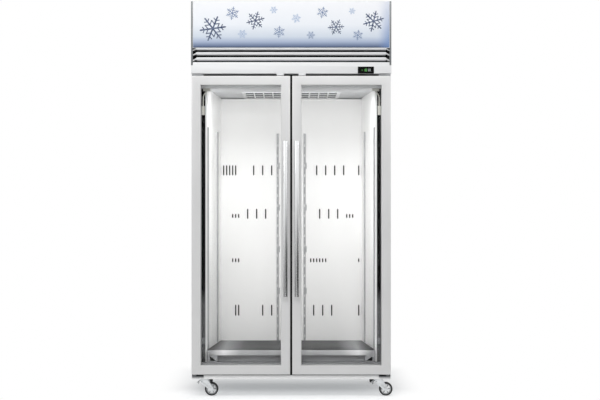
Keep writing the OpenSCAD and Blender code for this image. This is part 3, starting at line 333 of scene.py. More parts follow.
# Between the skins is foamed polyurethane, a pale yellow foam with open cells where it is cut.
foam = new_material("polyurethane_foam")
place = add_node(foam, "TexCoord")
cells = add_node(foam, "TexVoronoi", {"Scale": per_mm(2)}, {"Vector": place.outputs["Object"]})
relief = add_node(foam, "Bump", {"Strength": 0.5, "Distance": 0.5 * mm}, {"Height": cells.outputs["Distance"]})
tone = add_node(foam, "Mix", {6: linear("#DCCB94"), 7: linear("#EFE3B8")}, {0: cells.outputs["Distance"]},
                data_type="RGBA")
# Where it faces the air ducts at the top of the cavity it is covered with grey film
axes = add_node(foam, "SeparateXYZ", links={0: place.outputs["Object"]})
film_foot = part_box("liner_ceiling")[0][2] - 4 * mm
film = add_node(foam, "Math", {1: film_foot}, {0: axes.outputs["Z"]}, operation="GREATER_THAN")
tone = add_node(foam, "Mix", {7: linear("#7C7E80")}, {0: film.outputs[0], 6: tone.outputs[2]}, data_type="RGBA")
matt = add_node(foam, "BsdfPrincipled", {"Roughness": 0.9},
                {"Base Color": tone.outputs[2], "Normal": relief.outputs[0]})
add_node(foam, "OutputMaterial", links={"Surface": matt.outputs[0]})
dress(foam, "insulation")


# ---------- liner ----------
# The cavity is lined with white enamelled sheet, smoother than the paint outside, and the slotted duct
# panel is made of it too. Cleaning leaves faint soft streaks up and down. The side walls get a whiter
# copy of it, painted light for the light that falls brightest on them.
enamel = new_material("liner_enamel_white")
place = add_node(enamel, "TexCoord")
stretch = add_node(enamel, "Mapping", {"Scale": (1.0, 1.0, 0.12)}, {"Vector": place.outputs["Object"]})
streaks = add_node(enamel, "TexNoise", {"Scale": per_mm(60), "Detail": 3.0}, {"Vector": stretch.outputs[0]})
tone = add_node(enamel, "Mix", {6: linear("#DDDDDC"), 7: linear("#E5E5E4")}, {0: streaks.outputs[0]},
                data_type="RGBA")
sheen = add_node(enamel, "MapRange", {"To Min": 0.26, "To Max": 0.36}, {"Value": streaks.outputs[0]})
coat = add_node(enamel, "BsdfPrincipled", {"IOR": 1.5},
                {"Base Color": tone.outputs[2], "Roughness": sheen.outputs[0]})
add_node(enamel, "OutputMaterial", links={"Surface": coat.outputs[0]})
dress(enamel, "air_duct_panel")


def in_other_tones(material, name, low_tone, high_tone):
    """The same finish between two other tones."""
    other = material.copy()
    other.name = name
    tones = other.node_tree.nodes["Mix"].inputs
    tones[6].default_value, tones[7].default_value = linear(low_tone), linear(high_tone)
    return other


# The whiter side walls are painted light.
painted_light_side_enamel = in_other_tones(enamel, "liner_enamel_bright_white", "#F4F4F3", "#F9F9F8")
dress(painted_light_side_enamel, "liner_sides")

# The slotted pilasters are zinc-coated channel, a light even grey against the enamel.
pilaster_zinc = new_material("zinc_coated_pilaster")
place = add_node(pilaster_zinc, "TexCoord")
cloud = add_node(pilaster_zinc, "TexNoise", {"Scale": per_mm(25), "Detail": 2.0},
                 {"Vector": place.outputs["Object"]})
tone = add_node(pilaster_zinc, "Mix", {6: linear("#9C9D9E"), 7: linear("#AAABAC")}, {0: cloud.outputs[0]},
                data_type="RGBA")
metal = add_node(pilaster_zinc, "BsdfPrincipled", {"Metallic": 0.3, "Roughness": 0.45},
                 {"Base Color": tone.outputs[2]})
add_node(pilaster_zinc, "OutputMaterial", links={"Surface": metal.outputs[0]})
dress(pilaster_zinc, "shelf_pilasters")

# The ceiling and its grille are the same sheet in light grey, the grille a little paler.
grey_enamel = new_material("liner_enamel_grey")
place = add_node(grey_enamel, "TexCoord")
cloud = add_node(grey_enamel, "TexNoise", {"Scale": per_mm(150), "Detail": 2.0},
                 {"Vector": place.outputs["Object"]})
tone = add_node(grey_enamel, "Mix", {6: linear("#AEB0B2"), 7: linear("#B8BABC")}, {0: cloud.outputs[0]},
                data_type="RGBA")
coat = add_node(grey_enamel, "BsdfPrincipled", {"Roughness": 0.35}, {"Base Color": tone.outputs[2]})
add_node(grey_enamel, "OutputMaterial", links={"Surface": coat.outputs[0]})
dress(grey_enamel, "liner_ceiling")
grille_enamel = in_other_tones(grey_enamel, "liner_enamel_pale_grey", "#D0D1D2", "#D8D9DA")
dress(grille_enamel, "ceiling_grille")

# The liner floor is dull stainless sheet, darker than the walls, and shows only in front of the tray.
floor_sheet = new_material("dull_stainless_floor_sheet")
place = add_node(floor_sheet, "TexCoord")
scuffs = add_node(floor_sheet, "TexNoise", {"Scale": per_mm(12), "Detail": 4.0},
                  {"Vector": place.outputs["Object"]})
tone = add_node(floor_sheet, "Mix", {6: linear("#7E7F81"), 7: linear("#838486")}, {0: scuffs.outputs[0]},
                data_type="RGBA")
metal = add_node(floor_sheet, "BsdfPrincipled", {"Metallic": 0.15, "Roughness": 0.6},
                 {"Base Color": tone.outputs[2]})
add_node(floor_sheet, "OutputMaterial", links={"Surface": metal.outputs[0]})
dress(floor_sheet, "liner_floor")

# The rear liner stands in the dark of the air duct and is seen only through the slots. It is painted
# near black, painted shade for the dark of the duct, and its bent top edge is painted like the ceiling.
duct_shade_paint = new_material("grey_primed_steel")
place = add_node(duct_shade_paint, "TexCoord")
cloud = add_node(duct_shade_paint, "TexNoise", {"Scale": per_mm(80), "Detail": 2.0}, {"Vector": place.outputs["Object"]})
tone = add_node(duct_shade_paint, "Mix", {6: linear("#1C1D1E"), 7: linear("#2A2B2C")}, {0: cloud.outputs[0]},
                data_type="RGBA")
axes = add_node(duct_shade_paint, "SeparateXYZ", links={0: place.outputs["Object"]})
bent_edge_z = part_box("liner_rear")[1][2] - 45 * mm
top_edge = add_node(duct_shade_paint, "Math", {1: bent_edge_z}, {0: axes.outputs["Z"]}, operation="GREATER_THAN")
tone = add_node(duct_shade_paint, "Mix", {7: linear("#B4B6B7")}, {0: top_edge.outputs[0], 6: tone.outputs[2]},
                data_type="RGBA")
matt = add_node(duct_shade_paint, "BsdfPrincipled", {"Roughness": 0.7}, {"Base Color": tone.outputs[2]})
add_node(duct_shade_paint, "OutputMaterial", links={"Surface": matt.outputs[0]})
dress(duct_shade_paint, "liner_rear")


# ---------- tray ----------
# The lift-out tray is folded stainless sheet, brushed from front to back. Its tone across the width is a
# painted reflection: dark where it would mirror the door opening, with a soft bright streak on each side
# where it would mirror the white walls. Its lip is brighter, with painted highlights near each side.
tray_lo, tray_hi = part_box("base_tray")
brushed_tray = new_material("brushed_stainless_tray")
place = add_node(brushed_tray, "TexCoord")
stretch = add_node(brushed_tray, "Mapping", {"Scale": (1.0, 0.01, 1.0)}, {"Vector": place.outputs["Object"]})
scratches = add_node(brushed_tray, "TexNoise", {"Scale": per_mm(2.5), "Detail": 4.0},
                     {"Vector": stretch.outputs[0]})
axes = add_node(brushed_tray, "SeparateXYZ", links={0: place.outputs["Object"]})
across = add_node(brushed_tray, "Math", links={0: axes.outputs["X"]}, operation="ABSOLUTE")
share = add_node(brushed_tray, "MapRange", {"From Max": tray_hi[0]}, {"Value": across.outputs[0]})
tray_painted_reflection_tone = add_node(brushed_tray, "ValToRGB", links={0: share.outputs[0]})
lip_painted_highlight_tone = add_node(brushed_tray, "ValToRGB", links={0: share.outputs[0]})


def set_stops(ramp, stops):
    """Gives a colour ramp its stops, as pairs of place and hex colour."""
    elements = ramp.color_ramp.elements
    for i, (at, colour) in enumerate(stops):
        stop = elements[i] if i < 2 else elements.new(at)
        stop.position, stop.color = at, linear(colour)


# Across the tray top a painted reflection, along its lip painted highlights:
set_stops(tray_painted_reflection_tone, [(0.0, "#48494B"), (0.3, "#1B1C1D"), (0.58, "#27282A"), (0.8, "#98999B"), (0.93, "#2A2B2C")])
set_stops(lip_painted_highlight_tone, [(0.0, "#C2C3C4"), (0.3, "#98999A"), (0.6, "#A2A3A4"), (0.8, "#D2D2D3"), (0.95, "#949596")])
lip_t = 3 * mm
front = add_node(brushed_tray, "Math", {1: tray_lo[1] + lip_t}, {0: axes.outputs["Y"]}, operation="LESS_THAN")
tone = add_node(brushed_tray, "Mix", links={0: front.outputs[0], 6: tray_painted_reflection_tone.outputs[0], 7: lip_painted_highlight_tone.outputs[0]},
                data_type="RGBA")
shade = add_node(brushed_tray, "MapRange", {"From Min": 0.3, "From Max": 0.7, "To Min": 0.9, "To Max": 1.08},
                 {"Value": scratches.outputs[0]})
tone = add_node(brushed_tray, "VectorMath", links={0: tone.outputs[2], 1: shade.outputs[0]}, operation="MULTIPLY")
dullness = add_node(brushed_tray, "MapRange", {"To Min": 0.38, "To Max": 0.5}, {"Value": scratches.outputs[0]})
relief = add_node(brushed_tray, "Bump", {"Strength": 0.2, "Distance": 0.03 * mm}, {"Height": scratches.outputs[0]})
metal = add_node(brushed_tray, "BsdfPrincipled", {"Metallic": 0.4, "Specular IOR Level": 0.2},
                 {"Base Color": tone.outputs[0], "Roughness": dullness.outputs[0], "Normal": relief.outputs[0]})
add_node(brushed_tray, "OutputMaterial", links={"Surface": metal.outputs[0]})
refine(brushed_tray, 0.8 * mm, "base_tray")

# The feet are plated plates with a triangular window. Their bright plating is painted a dull grey, as painted shade
# for the shade under the tray.
tray_feet_shade_paint = new_material("bright_plated_tray_feet")
place = add_node(tray_feet_shade_paint, "TexCoord")
cloud = add_node(tray_feet_shade_paint, "TexNoise", {"Scale": per_mm(20), "Detail": 2.0}, {"Vector": place.outputs["Object"]})
tone = add_node(tray_feet_shade_paint, "Mix", {6: linear("#7E7F81"), 7: linear("#8E8F91")}, {0: cloud.outputs[0]},
                data_type="RGBA")
metal = add_node(tray_feet_shade_paint, "BsdfPrincipled", {"Metallic": 0.3, "Roughness": 0.4}, {"Base Color": tone.outputs[2]})
add_node(tray_feet_shade_paint, "OutputMaterial", links={"Surface": metal.outputs[0]})
refine(tray_feet_shade_paint, 0.4 * mm, "tray_feet")


def join(pieces):
    """The pieces as one object."""
    deselect()
    for piece in pieces:
        piece.select_set(True)
    bpy.context.view_layer.objects.active = pieces[0]
    bpy.ops.object.join()
    return bpy.context.object


def rounded_block(lo, hi, rounding, segments=2):
    """A block between two corners, with all its edges bevelled."""
    deselect()
    bpy.ops.mesh.primitive_cube_add(size=1.0, location=(Vector(lo) + Vector(hi)) / 2)
    block = bpy.context.object
    block.scale = Vector(hi) - Vector(lo)
    bpy.ops.object.transform_apply(location=True, rotation=True, scale=True)
    bpy.ops.object.mode_set(mode="EDIT")
    bpy.ops.mesh.select_all(action="SELECT")
    bpy.ops.mesh.bevel(offset=rounding, segments=segments, affect="EDGES")
    bpy.ops.object.mode_set(mode="OBJECT")
    return block


# Behind the front pair of feet a matt grey sheet hangs under the tray, with its foot bent back. It stands where
# there is only the shaded space under the tray, and its grey is painted shade for that space.
under_tray_shade_paint = new_material("mid_grey_painted_sheet")
place = add_node(under_tray_shade_paint, "TexCoord")
cloud = add_node(under_tray_shade_paint, "TexNoise", {"Scale": per_mm(160), "Detail": 2.0},
                 {"Vector": place.outputs["Object"]})
tone = add_node(under_tray_shade_paint, "Mix", {6: linear("#808183"), 7: linear("#8C8D8F")}, {0: cloud.outputs[0]},
                data_type="RGBA")
matt = add_node(under_tray_shade_paint, "BsdfPrincipled", {"Roughness": 0.6}, {"Base Color": tone.outputs[2]})
add_node(under_tray_shade_paint, "OutputMaterial", links={"Surface": matt.outputs[0]})
skirt_t, hem, skirt_edge = 1.2 * mm, 12 * mm, 0.4 * mm
skirt_x = tray_hi[0] - 45 * mm
skirt_y = tray_lo[1] + 26 * mm
skirt_foot, skirt_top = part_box("tray_feet")[0][2] + 1 * mm, tray_hi[2] - 3.4 * mm
parts = [rounded_block((-skirt_x, skirt_y, skirt_foot), (skirt_x, skirt_y + skirt_t, skirt_top), skirt_edge),
         rounded_block((-skirt_x, skirt_y + 0.2 * mm, skirt_foot),
                       (skirt_x, skirt_y + hem, skirt_foot + skirt_t), skirt_edge)]
finish_piece(join(parts), "tray_skirt", under_tray_shade_paint, "cabinet")


# ---------- front frame and doors ----------
# The door frames are mitred aluminium extrusions with a satin silver paint. Metal flake under the
# lacquer gives a soft sparkle.
silver_paint = new_material("silver_lacquered_aluminium")
place = add_node(silver_paint, "TexCoord")
flake = add_node(silver_paint, "TexVoronoi", {"Scale": per_mm(0.8)}, {"Vector": place.outputs["Object"]})
cloud = add_node(silver_paint, "TexNoise", {"Scale": per_mm(240), "Detail": 2.0},
                 {"Vector": place.outputs["Object"]})
tone = add_node(silver_paint, "Mix", {6: linear("#D3D3D3"), 7: linear("#DEDEDE")}, {0: cloud.outputs[0]},
                data_type="RGBA")
relief = add_node(silver_paint, "Bump", {"Strength": 0.05, "Distance": 0.02 * mm},
                  {"Height": flake.outputs["Distance"]})
coat = add_node(silver_paint, "BsdfPrincipled", {"Metallic": 0.25, "Roughness": 0.36, "IOR": 1.5},
                {"Base Color": tone.outputs[2], "Normal": relief.outputs[0]})
add_node(silver_paint, "OutputMaterial", links={"Surface": coat.outputs[0]})
refine(silver_paint, 1.2 * mm, "door_frame_left", "door_frame_right", segments=3)

# The frame round the opening and the centre mullion are clad in matt PVC, light grey inside the gaskets
# and darker at the sill. Outside the gaskets it is black: partly a breaker strip that keeps the cold in,
# partly painted shade for the shaded gaps, the dark lines beside, between and above the doors.
frame_pvc = new_material("pvc_cladding_with_black_breaker")
place = add_node(frame_pvc, "TexCoord")
axes = add_node(frame_pvc, "SeparateXYZ", links={0: place.outputs["Object"]})
across = add_node(frame_pvc, "Math", links={0: axes.outputs["X"]}, operation="ABSOLUTE")
pane_lo, pane_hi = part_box("door_glass_right")
outside = [(across.outputs[0], pane_lo[0] - 20 * mm, "LESS_THAN"),
           (across.outputs[0], pane_hi[0] + 10 * mm, "GREATER_THAN"),
           (axes.outputs["Z"], pane_hi[2] + 10 * mm, "GREATER_THAN")]
breaker_and_painted_shade_mask = None
for source, limit, test in outside:
    beyond = add_node(frame_pvc, "Math", {1: limit}, {0: source}, operation=test)
    breaker_and_painted_shade_mask = beyond if breaker_and_painted_shade_mask is None else add_node(frame_pvc, "Math", links={0: breaker_and_painted_shade_mask.outputs[0], 1: beyond.outputs[0]},
                                                operation="MAXIMUM")
grain = add_node(frame_pvc, "TexNoise", {"Scale": per_mm(1.5), "Detail": 2.0}, {"Vector": place.outputs["Object"]})
relief = add_node(frame_pvc, "Bump", {"Strength": 0.15, "Distance": 0.05 * mm}, {"Height": grain.outputs[0]})
sill_top = pane_lo[2] + 30 * mm
upper = add_node(frame_pvc, "Math", {1: sill_top}, {0: axes.outputs["Z"]}, operation="GREATER_THAN")
inner = add_node(frame_pvc, "Mix", {6: linear("#7E7F81"), 7: linear("#D6D8D9")}, {0: upper.outputs[0]},
                 data_type="RGBA")
# Black outside the gaskets: the breaker strip and painted shade of the gaps.
tone = add_node(frame_pvc, "Mix", {7: linear("#232425")}, {0: breaker_and_painted_shade_mask.outputs[0], 6: inner.outputs[2]},
                data_type="RGBA")
soft = add_node(frame_pvc, "BsdfPrincipled", {"Roughness": 0.6, "Specular IOR Level": 0.25},
                {"Base Color": tone.outputs[2], "Normal": relief.outputs[0]})
add_node(frame_pvc, "OutputMaterial", links={"Surface": soft.outputs[0]})
dress(frame_pvc, "front_frame", "centre_mullion")

# Each door holds a sealed unit of two clear float panes with an anti-reflection coating. The low IOR
# stands for that coating: the panes hardly mirror the room.
float_glass = new_material("clear_float_glass")
clear = add_node(float_glass, "BsdfPrincipled", {"Base Color": linear("#FEFEFE"), "Roughness": 0.0, "IOR": 1.1,
                                                 "Transmission Weight": 1.0})
add_node(float_glass, "OutputMaterial", links={"Surface": clear.outputs[0]})
dress(float_glass, "door_glass_left", "door_glass_right")
for name in ("door_glass_left", "door_glass_right"):
    nodes[name].visible_shadow = False

# Between the panes runs a spacer of satin aluminium strip, whose fine perforation makes its gloss uneven.
spacer_aluminium = new_material("satin_aluminium_spacer")
place = add_node(spacer_aluminium, "TexCoord")
perforation = add_node(spacer_aluminium, "TexNoise", {"Scale": per_mm(2)}, {"Vector": place.outputs["Object"]})
dullness = add_node(spacer_aluminium, "MapRange", {"To Min": 0.35, "To Max": 0.5},
                    {"Value": perforation.outputs[0]})
metal = add_node(spacer_aluminium, "BsdfPrincipled", {"Base Color": linear("#B4B6B8"), "Metallic": 1.0},
                 {"Roughness": dullness.outputs[0]})
add_node(spacer_aluminium, "OutputMaterial", links={"Surface": metal.outputs[0]})
dress(spacer_aluminium, "glass_spacer_left", "glass_spacer_right")

# The magnetic gasket is soft extruded PVC in grey, matt and slightly dusty.
gasket_pvc = new_material("soft_pvc_gasket")
place = add_node(gasket_pvc, "TexCoord")
dust = add_node(gasket_pvc, "TexNoise", {"Scale": per_mm(25), "Detail": 3.0}, {"Vector": place.outputs["Object"]})
tone = add_node(gasket_pvc, "Mix", {6: linear("#8D9093"), 7: linear("#A0A3A5")}, {0: dust.outputs[0]},
                data_type="RGBA")
soft = add_node(gasket_pvc, "BsdfPrincipled", {"Roughness": 0.62}, {"Base Color": tone.outputs[2]})
add_node(gasket_pvc, "OutputMaterial", links={"Surface": soft.outputs[0]})
dress(gasket_pvc, "door_gasket_left", "door_gasket_right")


# ---------- handles ----------
# Each door has one long round bar of polished stainless tube on two posts, with a collar where a post
# meets the frame. The faint polishing marks run along the bar.
handle_steel = new_material("polished_stainless_handle")
place = add_node(handle_steel, "TexCoord")
stretch = add_node(handle_steel, "Mapping", {"Scale": (1.0, 1.0, 0.02)}, {"Vector": place.outputs["Object"]})
scratches = add_node(handle_steel, "TexNoise", {"Scale": per_mm(0.8), "Detail": 3.0},
                     {"Vector": stretch.outputs[0]})
dullness = add_node(handle_steel, "MapRange", {"To Min": 0.06, "To Max": 0.12}, {"Value": scratches.outputs[0]})
metal = add_node(handle_steel, "BsdfPrincipled", {"Base Color": linear("#F0F1F2"), "Metallic": 1.0},
                 {"Roughness": dullness.outputs[0]})
add_node(handle_steel, "OutputMaterial", links={"Surface": metal.outputs[0]})


def rounded_rod(start, end, radius, rounding, sides=48):
    """A round rod between two points, a cylinder whose end edges are bevelled round."""
    start, end = Vector(start), Vector(end)
    deselect()
    bpy.ops.mesh.primitive_cylinder_add(vertices=sides, radius=radius, depth=(end - start).length,
                                        location=(start + end) / 2,
                                        rotation=(end - start).to_track_quat("Z", "Y").to_euler())
    rod = bpy.context.object
    bpy.ops.object.mode_set(mode="EDIT")
    bpy.ops.mesh.select_all(action="DESELECT")
    bpy.ops.object.mode_set(mode="OBJECT")
    for face in rod.data.polygons:
        face.select = len(face.vertices) > 4
    bpy.ops.object.mode_set(mode="EDIT")
    bpy.ops.mesh.region_to_loop()
    bpy.ops.mesh.bevel(offset=rounding, segments=5, affect="EDGES")
    bpy.ops.object.mode_set(mode="OBJECT")
    return rod


def spun_ring(centre, axis, inner, outer, width, rounding, steps=64):
    """A turned ring: a rectangular section with round corners, spun once round the axis."""
    deselect()
    bpy.ops.mesh.primitive_plane_add(size=1.0)
    turned = bpy.context.object
    bpy.ops.object.mode_set(mode="EDIT")
    bpy.ops.mesh.select_all(action="SELECT")
    bpy.ops.transform.resize(value=(outer - inner, width, 1.0))
    bpy.ops.transform.translate(value=((outer + inner) / 2, 0.0, 0.0))
    bpy.ops.mesh.bevel(offset=rounding, segments=4, affect="VERTICES")
    bpy.ops.mesh.delete(type="ONLY_FACE")
    bpy.ops.mesh.select_all(action="SELECT")
    bpy.ops.mesh.spin(steps=steps, angle=math.tau, center=(0, 0, 0), axis=(0, 1, 0))
    bpy.ops.mesh.select_all(action="SELECT")
    bpy.ops.mesh.remove_doubles(threshold=1e-6)
    bpy.ops.mesh.normals_make_consistent(inside=False)
    bpy.ops.object.mode_set(mode="OBJECT")
    turn = Vector((0, 1, 0)).rotation_difference(Vector(axis)).to_matrix().to_4x4()
    turned.data.transform(Matrix.Translation(Vector(centre)) @ turn)
    return turned


handle_lo, handle_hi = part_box("door_handle_left")
bar_r = (handle_hi[0] - handle_lo[0]) / 2
bar_x = (handle_hi[0] + handle_lo[0]) / 2
bar_y = handle_lo[1] + bar_r
bar_end = 5 * mm
post_r, post_inset = 7 * mm, 45 * mm
collar_r, collar_h = 11 * mm, 3 * mm
for name, side in (("left", -1), ("right", 1)):
    x = side * abs(bar_x)
    parts = [rounded_rod((x, bar_y, handle_lo[2]), (x, bar_y, handle_hi[2]), bar_r, bar_end, 64)]
    for z in (handle_lo[2] + post_inset, handle_hi[2] - post_inset):
        parts.append(rounded_rod((x, bar_y, z), (x, door_face_y, z), post_r, 0.5 * mm))
        parts.append(spun_ring((x, door_face_y - collar_h / 2, z), (0, 1, 0), post_r - 0.5 * mm, collar_r,
                               collar_h, 1 * mm))
    handle = finish_piece(join(parts), "handle_bar_" + name, handle_steel, "door_" + name)
    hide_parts("door_handle_" + name)


# ---------- interior lights ----------
# A housing of matt black moulded ABS stands on each side of the opening, with a frosted diffuser towards
# the goods. Its lower third is painted grey: a painted reflection of the floor in its matt sheen. A pale
# sheathed lead runs from its plug to the ceiling.
painted_reflection_foot, painted_reflection_top = 510 * mm, 600 * mm
black_plastic = new_material("black_moulded_abs")
place = add_node(black_plastic, "TexCoord")
grain = add_node(black_plastic, "TexNoise", {"Scale": per_mm(1.5), "Detail": 2.0},
                 {"Vector": place.outputs["Object"]})
relief = add_node(black_plastic, "Bump", {"Strength": 0.15, "Distance": 0.05 * mm}, {"Height": grain.outputs[0]})
axes = add_node(black_plastic, "SeparateXYZ", links={0: place.outputs["Object"]})
# Grey below, black above: the painted reflection of the floor.
upper = add_node(black_plastic, "MapRange", {"From Min": painted_reflection_foot, "From Max": painted_reflection_top},
                 {"Value": axes.outputs["Z"]})
tone = add_node(black_plastic, "Mix", {6: linear("#5C5D5E"), 7: linear("#050505")}, {0: upper.outputs[0]},
                data_type="RGBA")
dark = add_node(black_plastic, "BsdfPrincipled", {"Roughness": 0.55, "Specular IOR Level": 0.06},
                {"Base Color": tone.outputs[2], "Normal": relief.outputs[0]})
add_node(black_plastic, "OutputMaterial", links={"Surface": dark.outputs[0]})
# The condenser fan's motor has a case of the same plastic.
refine(black_plastic, 0.8 * mm, "condenser_motor")

# The flange that laps the side wall beside each housing is white.
flange_x = housing_hi[0] - 27.5 * mm
housing_abs = black_plastic.copy()
housing_abs.name = "black_moulded_abs_white_flange"
housing_nodes = housing_abs.node_tree.nodes
across = add_node(housing_abs, "Math", links={0: housing_nodes["Separate XYZ"].outputs["X"]}, operation="ABSOLUTE")
flange = add_node(housing_abs, "Math", {1: flange_x}, {0: across.outputs[0]}, operation="LESS_THAN")
tone = add_node(housing_abs, "Mix", {7: linear("#D8D9D9")},
                {0: flange.outputs[0], 6: housing_nodes["Mix"].outputs[2]}, data_type="RGBA")
housing_abs.node_tree.links.new(tone.outputs[2], housing_nodes["Principled BSDF"].inputs["Base Color"])
refine(housing_abs, 0.8 * mm, "light_housings")

# The diffuser is frosted polycarbonate, which scatters what is behind it.
diffuser = new_material("frosted_polycarbonate")
place = add_node(diffuser, "TexCoord")
grain = add_node(diffuser, "TexNoise", {"Scale": per_mm(3), "Detail": 2.0}, {"Vector": place.outputs["Object"]})
dullness = add_node(diffuser, "MapRange", {"To Min": 0.28, "To Max": 0.42}, {"Value": grain.outputs[0]})
frost = add_node(diffuser, "BsdfPrincipled",
                 {"Base Color": linear("#E8ECEE"), "IOR": 1.45, "Transmission Weight": 0.5},
                 {"Roughness": dullness.outputs[0]})
add_node(diffuser, "OutputMaterial", links={"Surface": frost.outputs[0]})
dress(diffuser, "light_diffusers")

# The leads have a smooth PVC sheath in a pale grey, and the plugs under the strips are darker.
half_height = 1.0
sheath = new_material("pale_pvc_sheath")
place = add_node(sheath, "TexCoord")
axes = add_node(sheath, "SeparateXYZ", links={0: place.outputs["Object"]})
upper = add_node(sheath, "Math", {1: half_height}, {0: axes.outputs["Z"]}, operation="GREATER_THAN")
tone = add_node(sheath, "Mix", {6: linear("#77787A"), 7: linear("#C3C2BB")}, {0: upper.outputs[0]},
                data_type="RGBA")
soft = add_node(sheath, "BsdfPrincipled", {"Roughness": 0.45}, {"Base Color": tone.outputs[2]})
add_node(sheath, "OutputMaterial", links={"Surface": soft.outputs[0]})
dress(sheath, "light_leads")


# ---------- hinges ----------
# The doors turn on steel pins in brackets at their outer corners, bolted to the frame. The brackets are
# zinc-plated steel, bright at the top of the doors. At the foot the same plating is painted dull grey,
# painted shade for the low brackets under the doors.
hinge_steel = new_material("zinc_plated_hinge_steel")
place = add_node(hinge_steel, "TexCoord")
axes = add_node(hinge_steel, "SeparateXYZ", links={0: place.outputs["Object"]})
upper = add_node(hinge_steel, "Math", {1: half_height}, {0: axes.outputs["Z"]}, operation="GREATER_THAN")
# Dull grey below half height: painted shade on the low brackets.
tone = add_node(hinge_steel, "Mix", {6: linear("#7A7C7E"), 7: linear("#B4B6B8")}, {0: upper.outputs[0]},
                data_type="RGBA")
metal = add_node(hinge_steel, "BsdfPrincipled", {"Metallic": 0.7, "Roughness": 0.38},
                 {"Base Color": tone.outputs[2]})
add_node(hinge_steel, "OutputMaterial", links={"Surface": metal.outputs[0]})
dress(hinge_steel, "hinge_brackets")

# A white nylon cap, slightly dusty, covers the end of each upper hinge pin.
hinge_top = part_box("hinge_brackets")[1][2]
pin_x, pin_y = 529 * mm, -309.5 * mm
cap_r, cap_foot, cap_top = 8 * mm, hinge_top + 0.2 * mm, hinge_top + 4.6 * mm
nylon_cap = new_material("white_nylon_cap")
place = add_node(nylon_cap, "TexCoord")
dust = add_node(nylon_cap, "TexNoise", {"Scale": per_mm(5), "Detail": 2.0}, {"Vector": place.outputs["Object"]})
tone = add_node(nylon_cap, "Mix", {6: linear("#E4E5E6"), 7: linear("#F2F3F3")}, {0: dust.outputs[0]},
                data_type="RGBA")
soft = add_node(nylon_cap, "BsdfPrincipled", {"Roughness": 0.4}, {"Base Color": tone.outputs[2]})
add_node(nylon_cap, "OutputMaterial", links={"Surface": soft.outputs[0]})
caps = [rounded_rod((x, pin_y, cap_foot), (x, pin_y, cap_top), cap_r, 2 * mm, 32) for x in (-pin_x, pin_x)]
finish_piece(join(caps), "hinge_pin_caps", nylon_cap, "cabinet")


# ---------- header ----------
# The header over the doors has a folded white fascia, two bent louvre slats and a lit sign in a folded
# case with an end cap on each side. The sign is a glossy acrylic sheet, printed with a plain wash of
# colour from white at the top to slate blue along the foot, a little bluer down the right edge.
sign_lo, sign_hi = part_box("sign_panel")
sign_print = new_material("printed_acrylic_sign")
place = add_node(sign_print, "TexCoord")
axes = add_node(sign_print, "SeparateXYZ", links={0: place.outputs["Object"]})
height = add_node(sign_print, "MapRange", {"From Min": sign_lo[2], "From Max": sign_hi[2]},
                  {"Value": axes.outputs["Z"]})
wash = add_node(sign_print, "ValToRGB", links={0: height.outputs[0]})
set_stops(wash, [(0.0, "#3C4A66"), (0.05, "#6F7F9E"), (0.13, "#A9B7D0"), (0.24, "#D3DCE8"), (0.5, "#EEF2F8"),
                 (1.0, "#F8F9FC")])
tint_from, tint_to, tint_foot = sign_hi[0] - 75 * mm, sign_hi[0] + 8 * mm, sign_lo[2] + 60 * mm
edge = add_node(sign_print, "MapRange", {"From Min": tint_from, "From Max": tint_to}, {"Value": axes.outputs["X"]},
                interpolation_type="SMOOTHSTEP")
depth = add_node(sign_print, "MapRange",
                 {"From Min": tint_foot, "From Max": sign_hi[2], "To Min": 0.75, "To Max": 0.25},
                 {"Value": axes.outputs["Z"]})
tint = add_node(sign_print, "Math", links={0: edge.outputs[0], 1: depth.outputs[0]}, operation="MULTIPLY")
tone = add_node(sign_print, "Mix", {7: linear("#6C8CC2")}, {0: tint.outputs[0], 6: wash.outputs[0]},
                data_type="RGBA")
gloss = add_node(sign_print, "BsdfPrincipled", {"Roughness": 0.22, "IOR": 1.49}, {"Base Color": tone.outputs[2]})
add_node(sign_print, "OutputMaterial", links={"Surface": gloss.outputs[0]})
dress(sign_print, "sign_panel")

# Three louvre slats of folded sheet, painted a pale grey, run under the sign. Their noses are round, and
# their ends slope down into the end caps.
louvre_lo, louvre_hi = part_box("louvre_panel")
slat_depth, slat_slope, slat_back_t = 34 * mm, 10 * mm, 2 * mm
slat_end, slat_end_drop = 16 * mm, 9 * mm
nose = 0.46
reach = 0.1 * mm
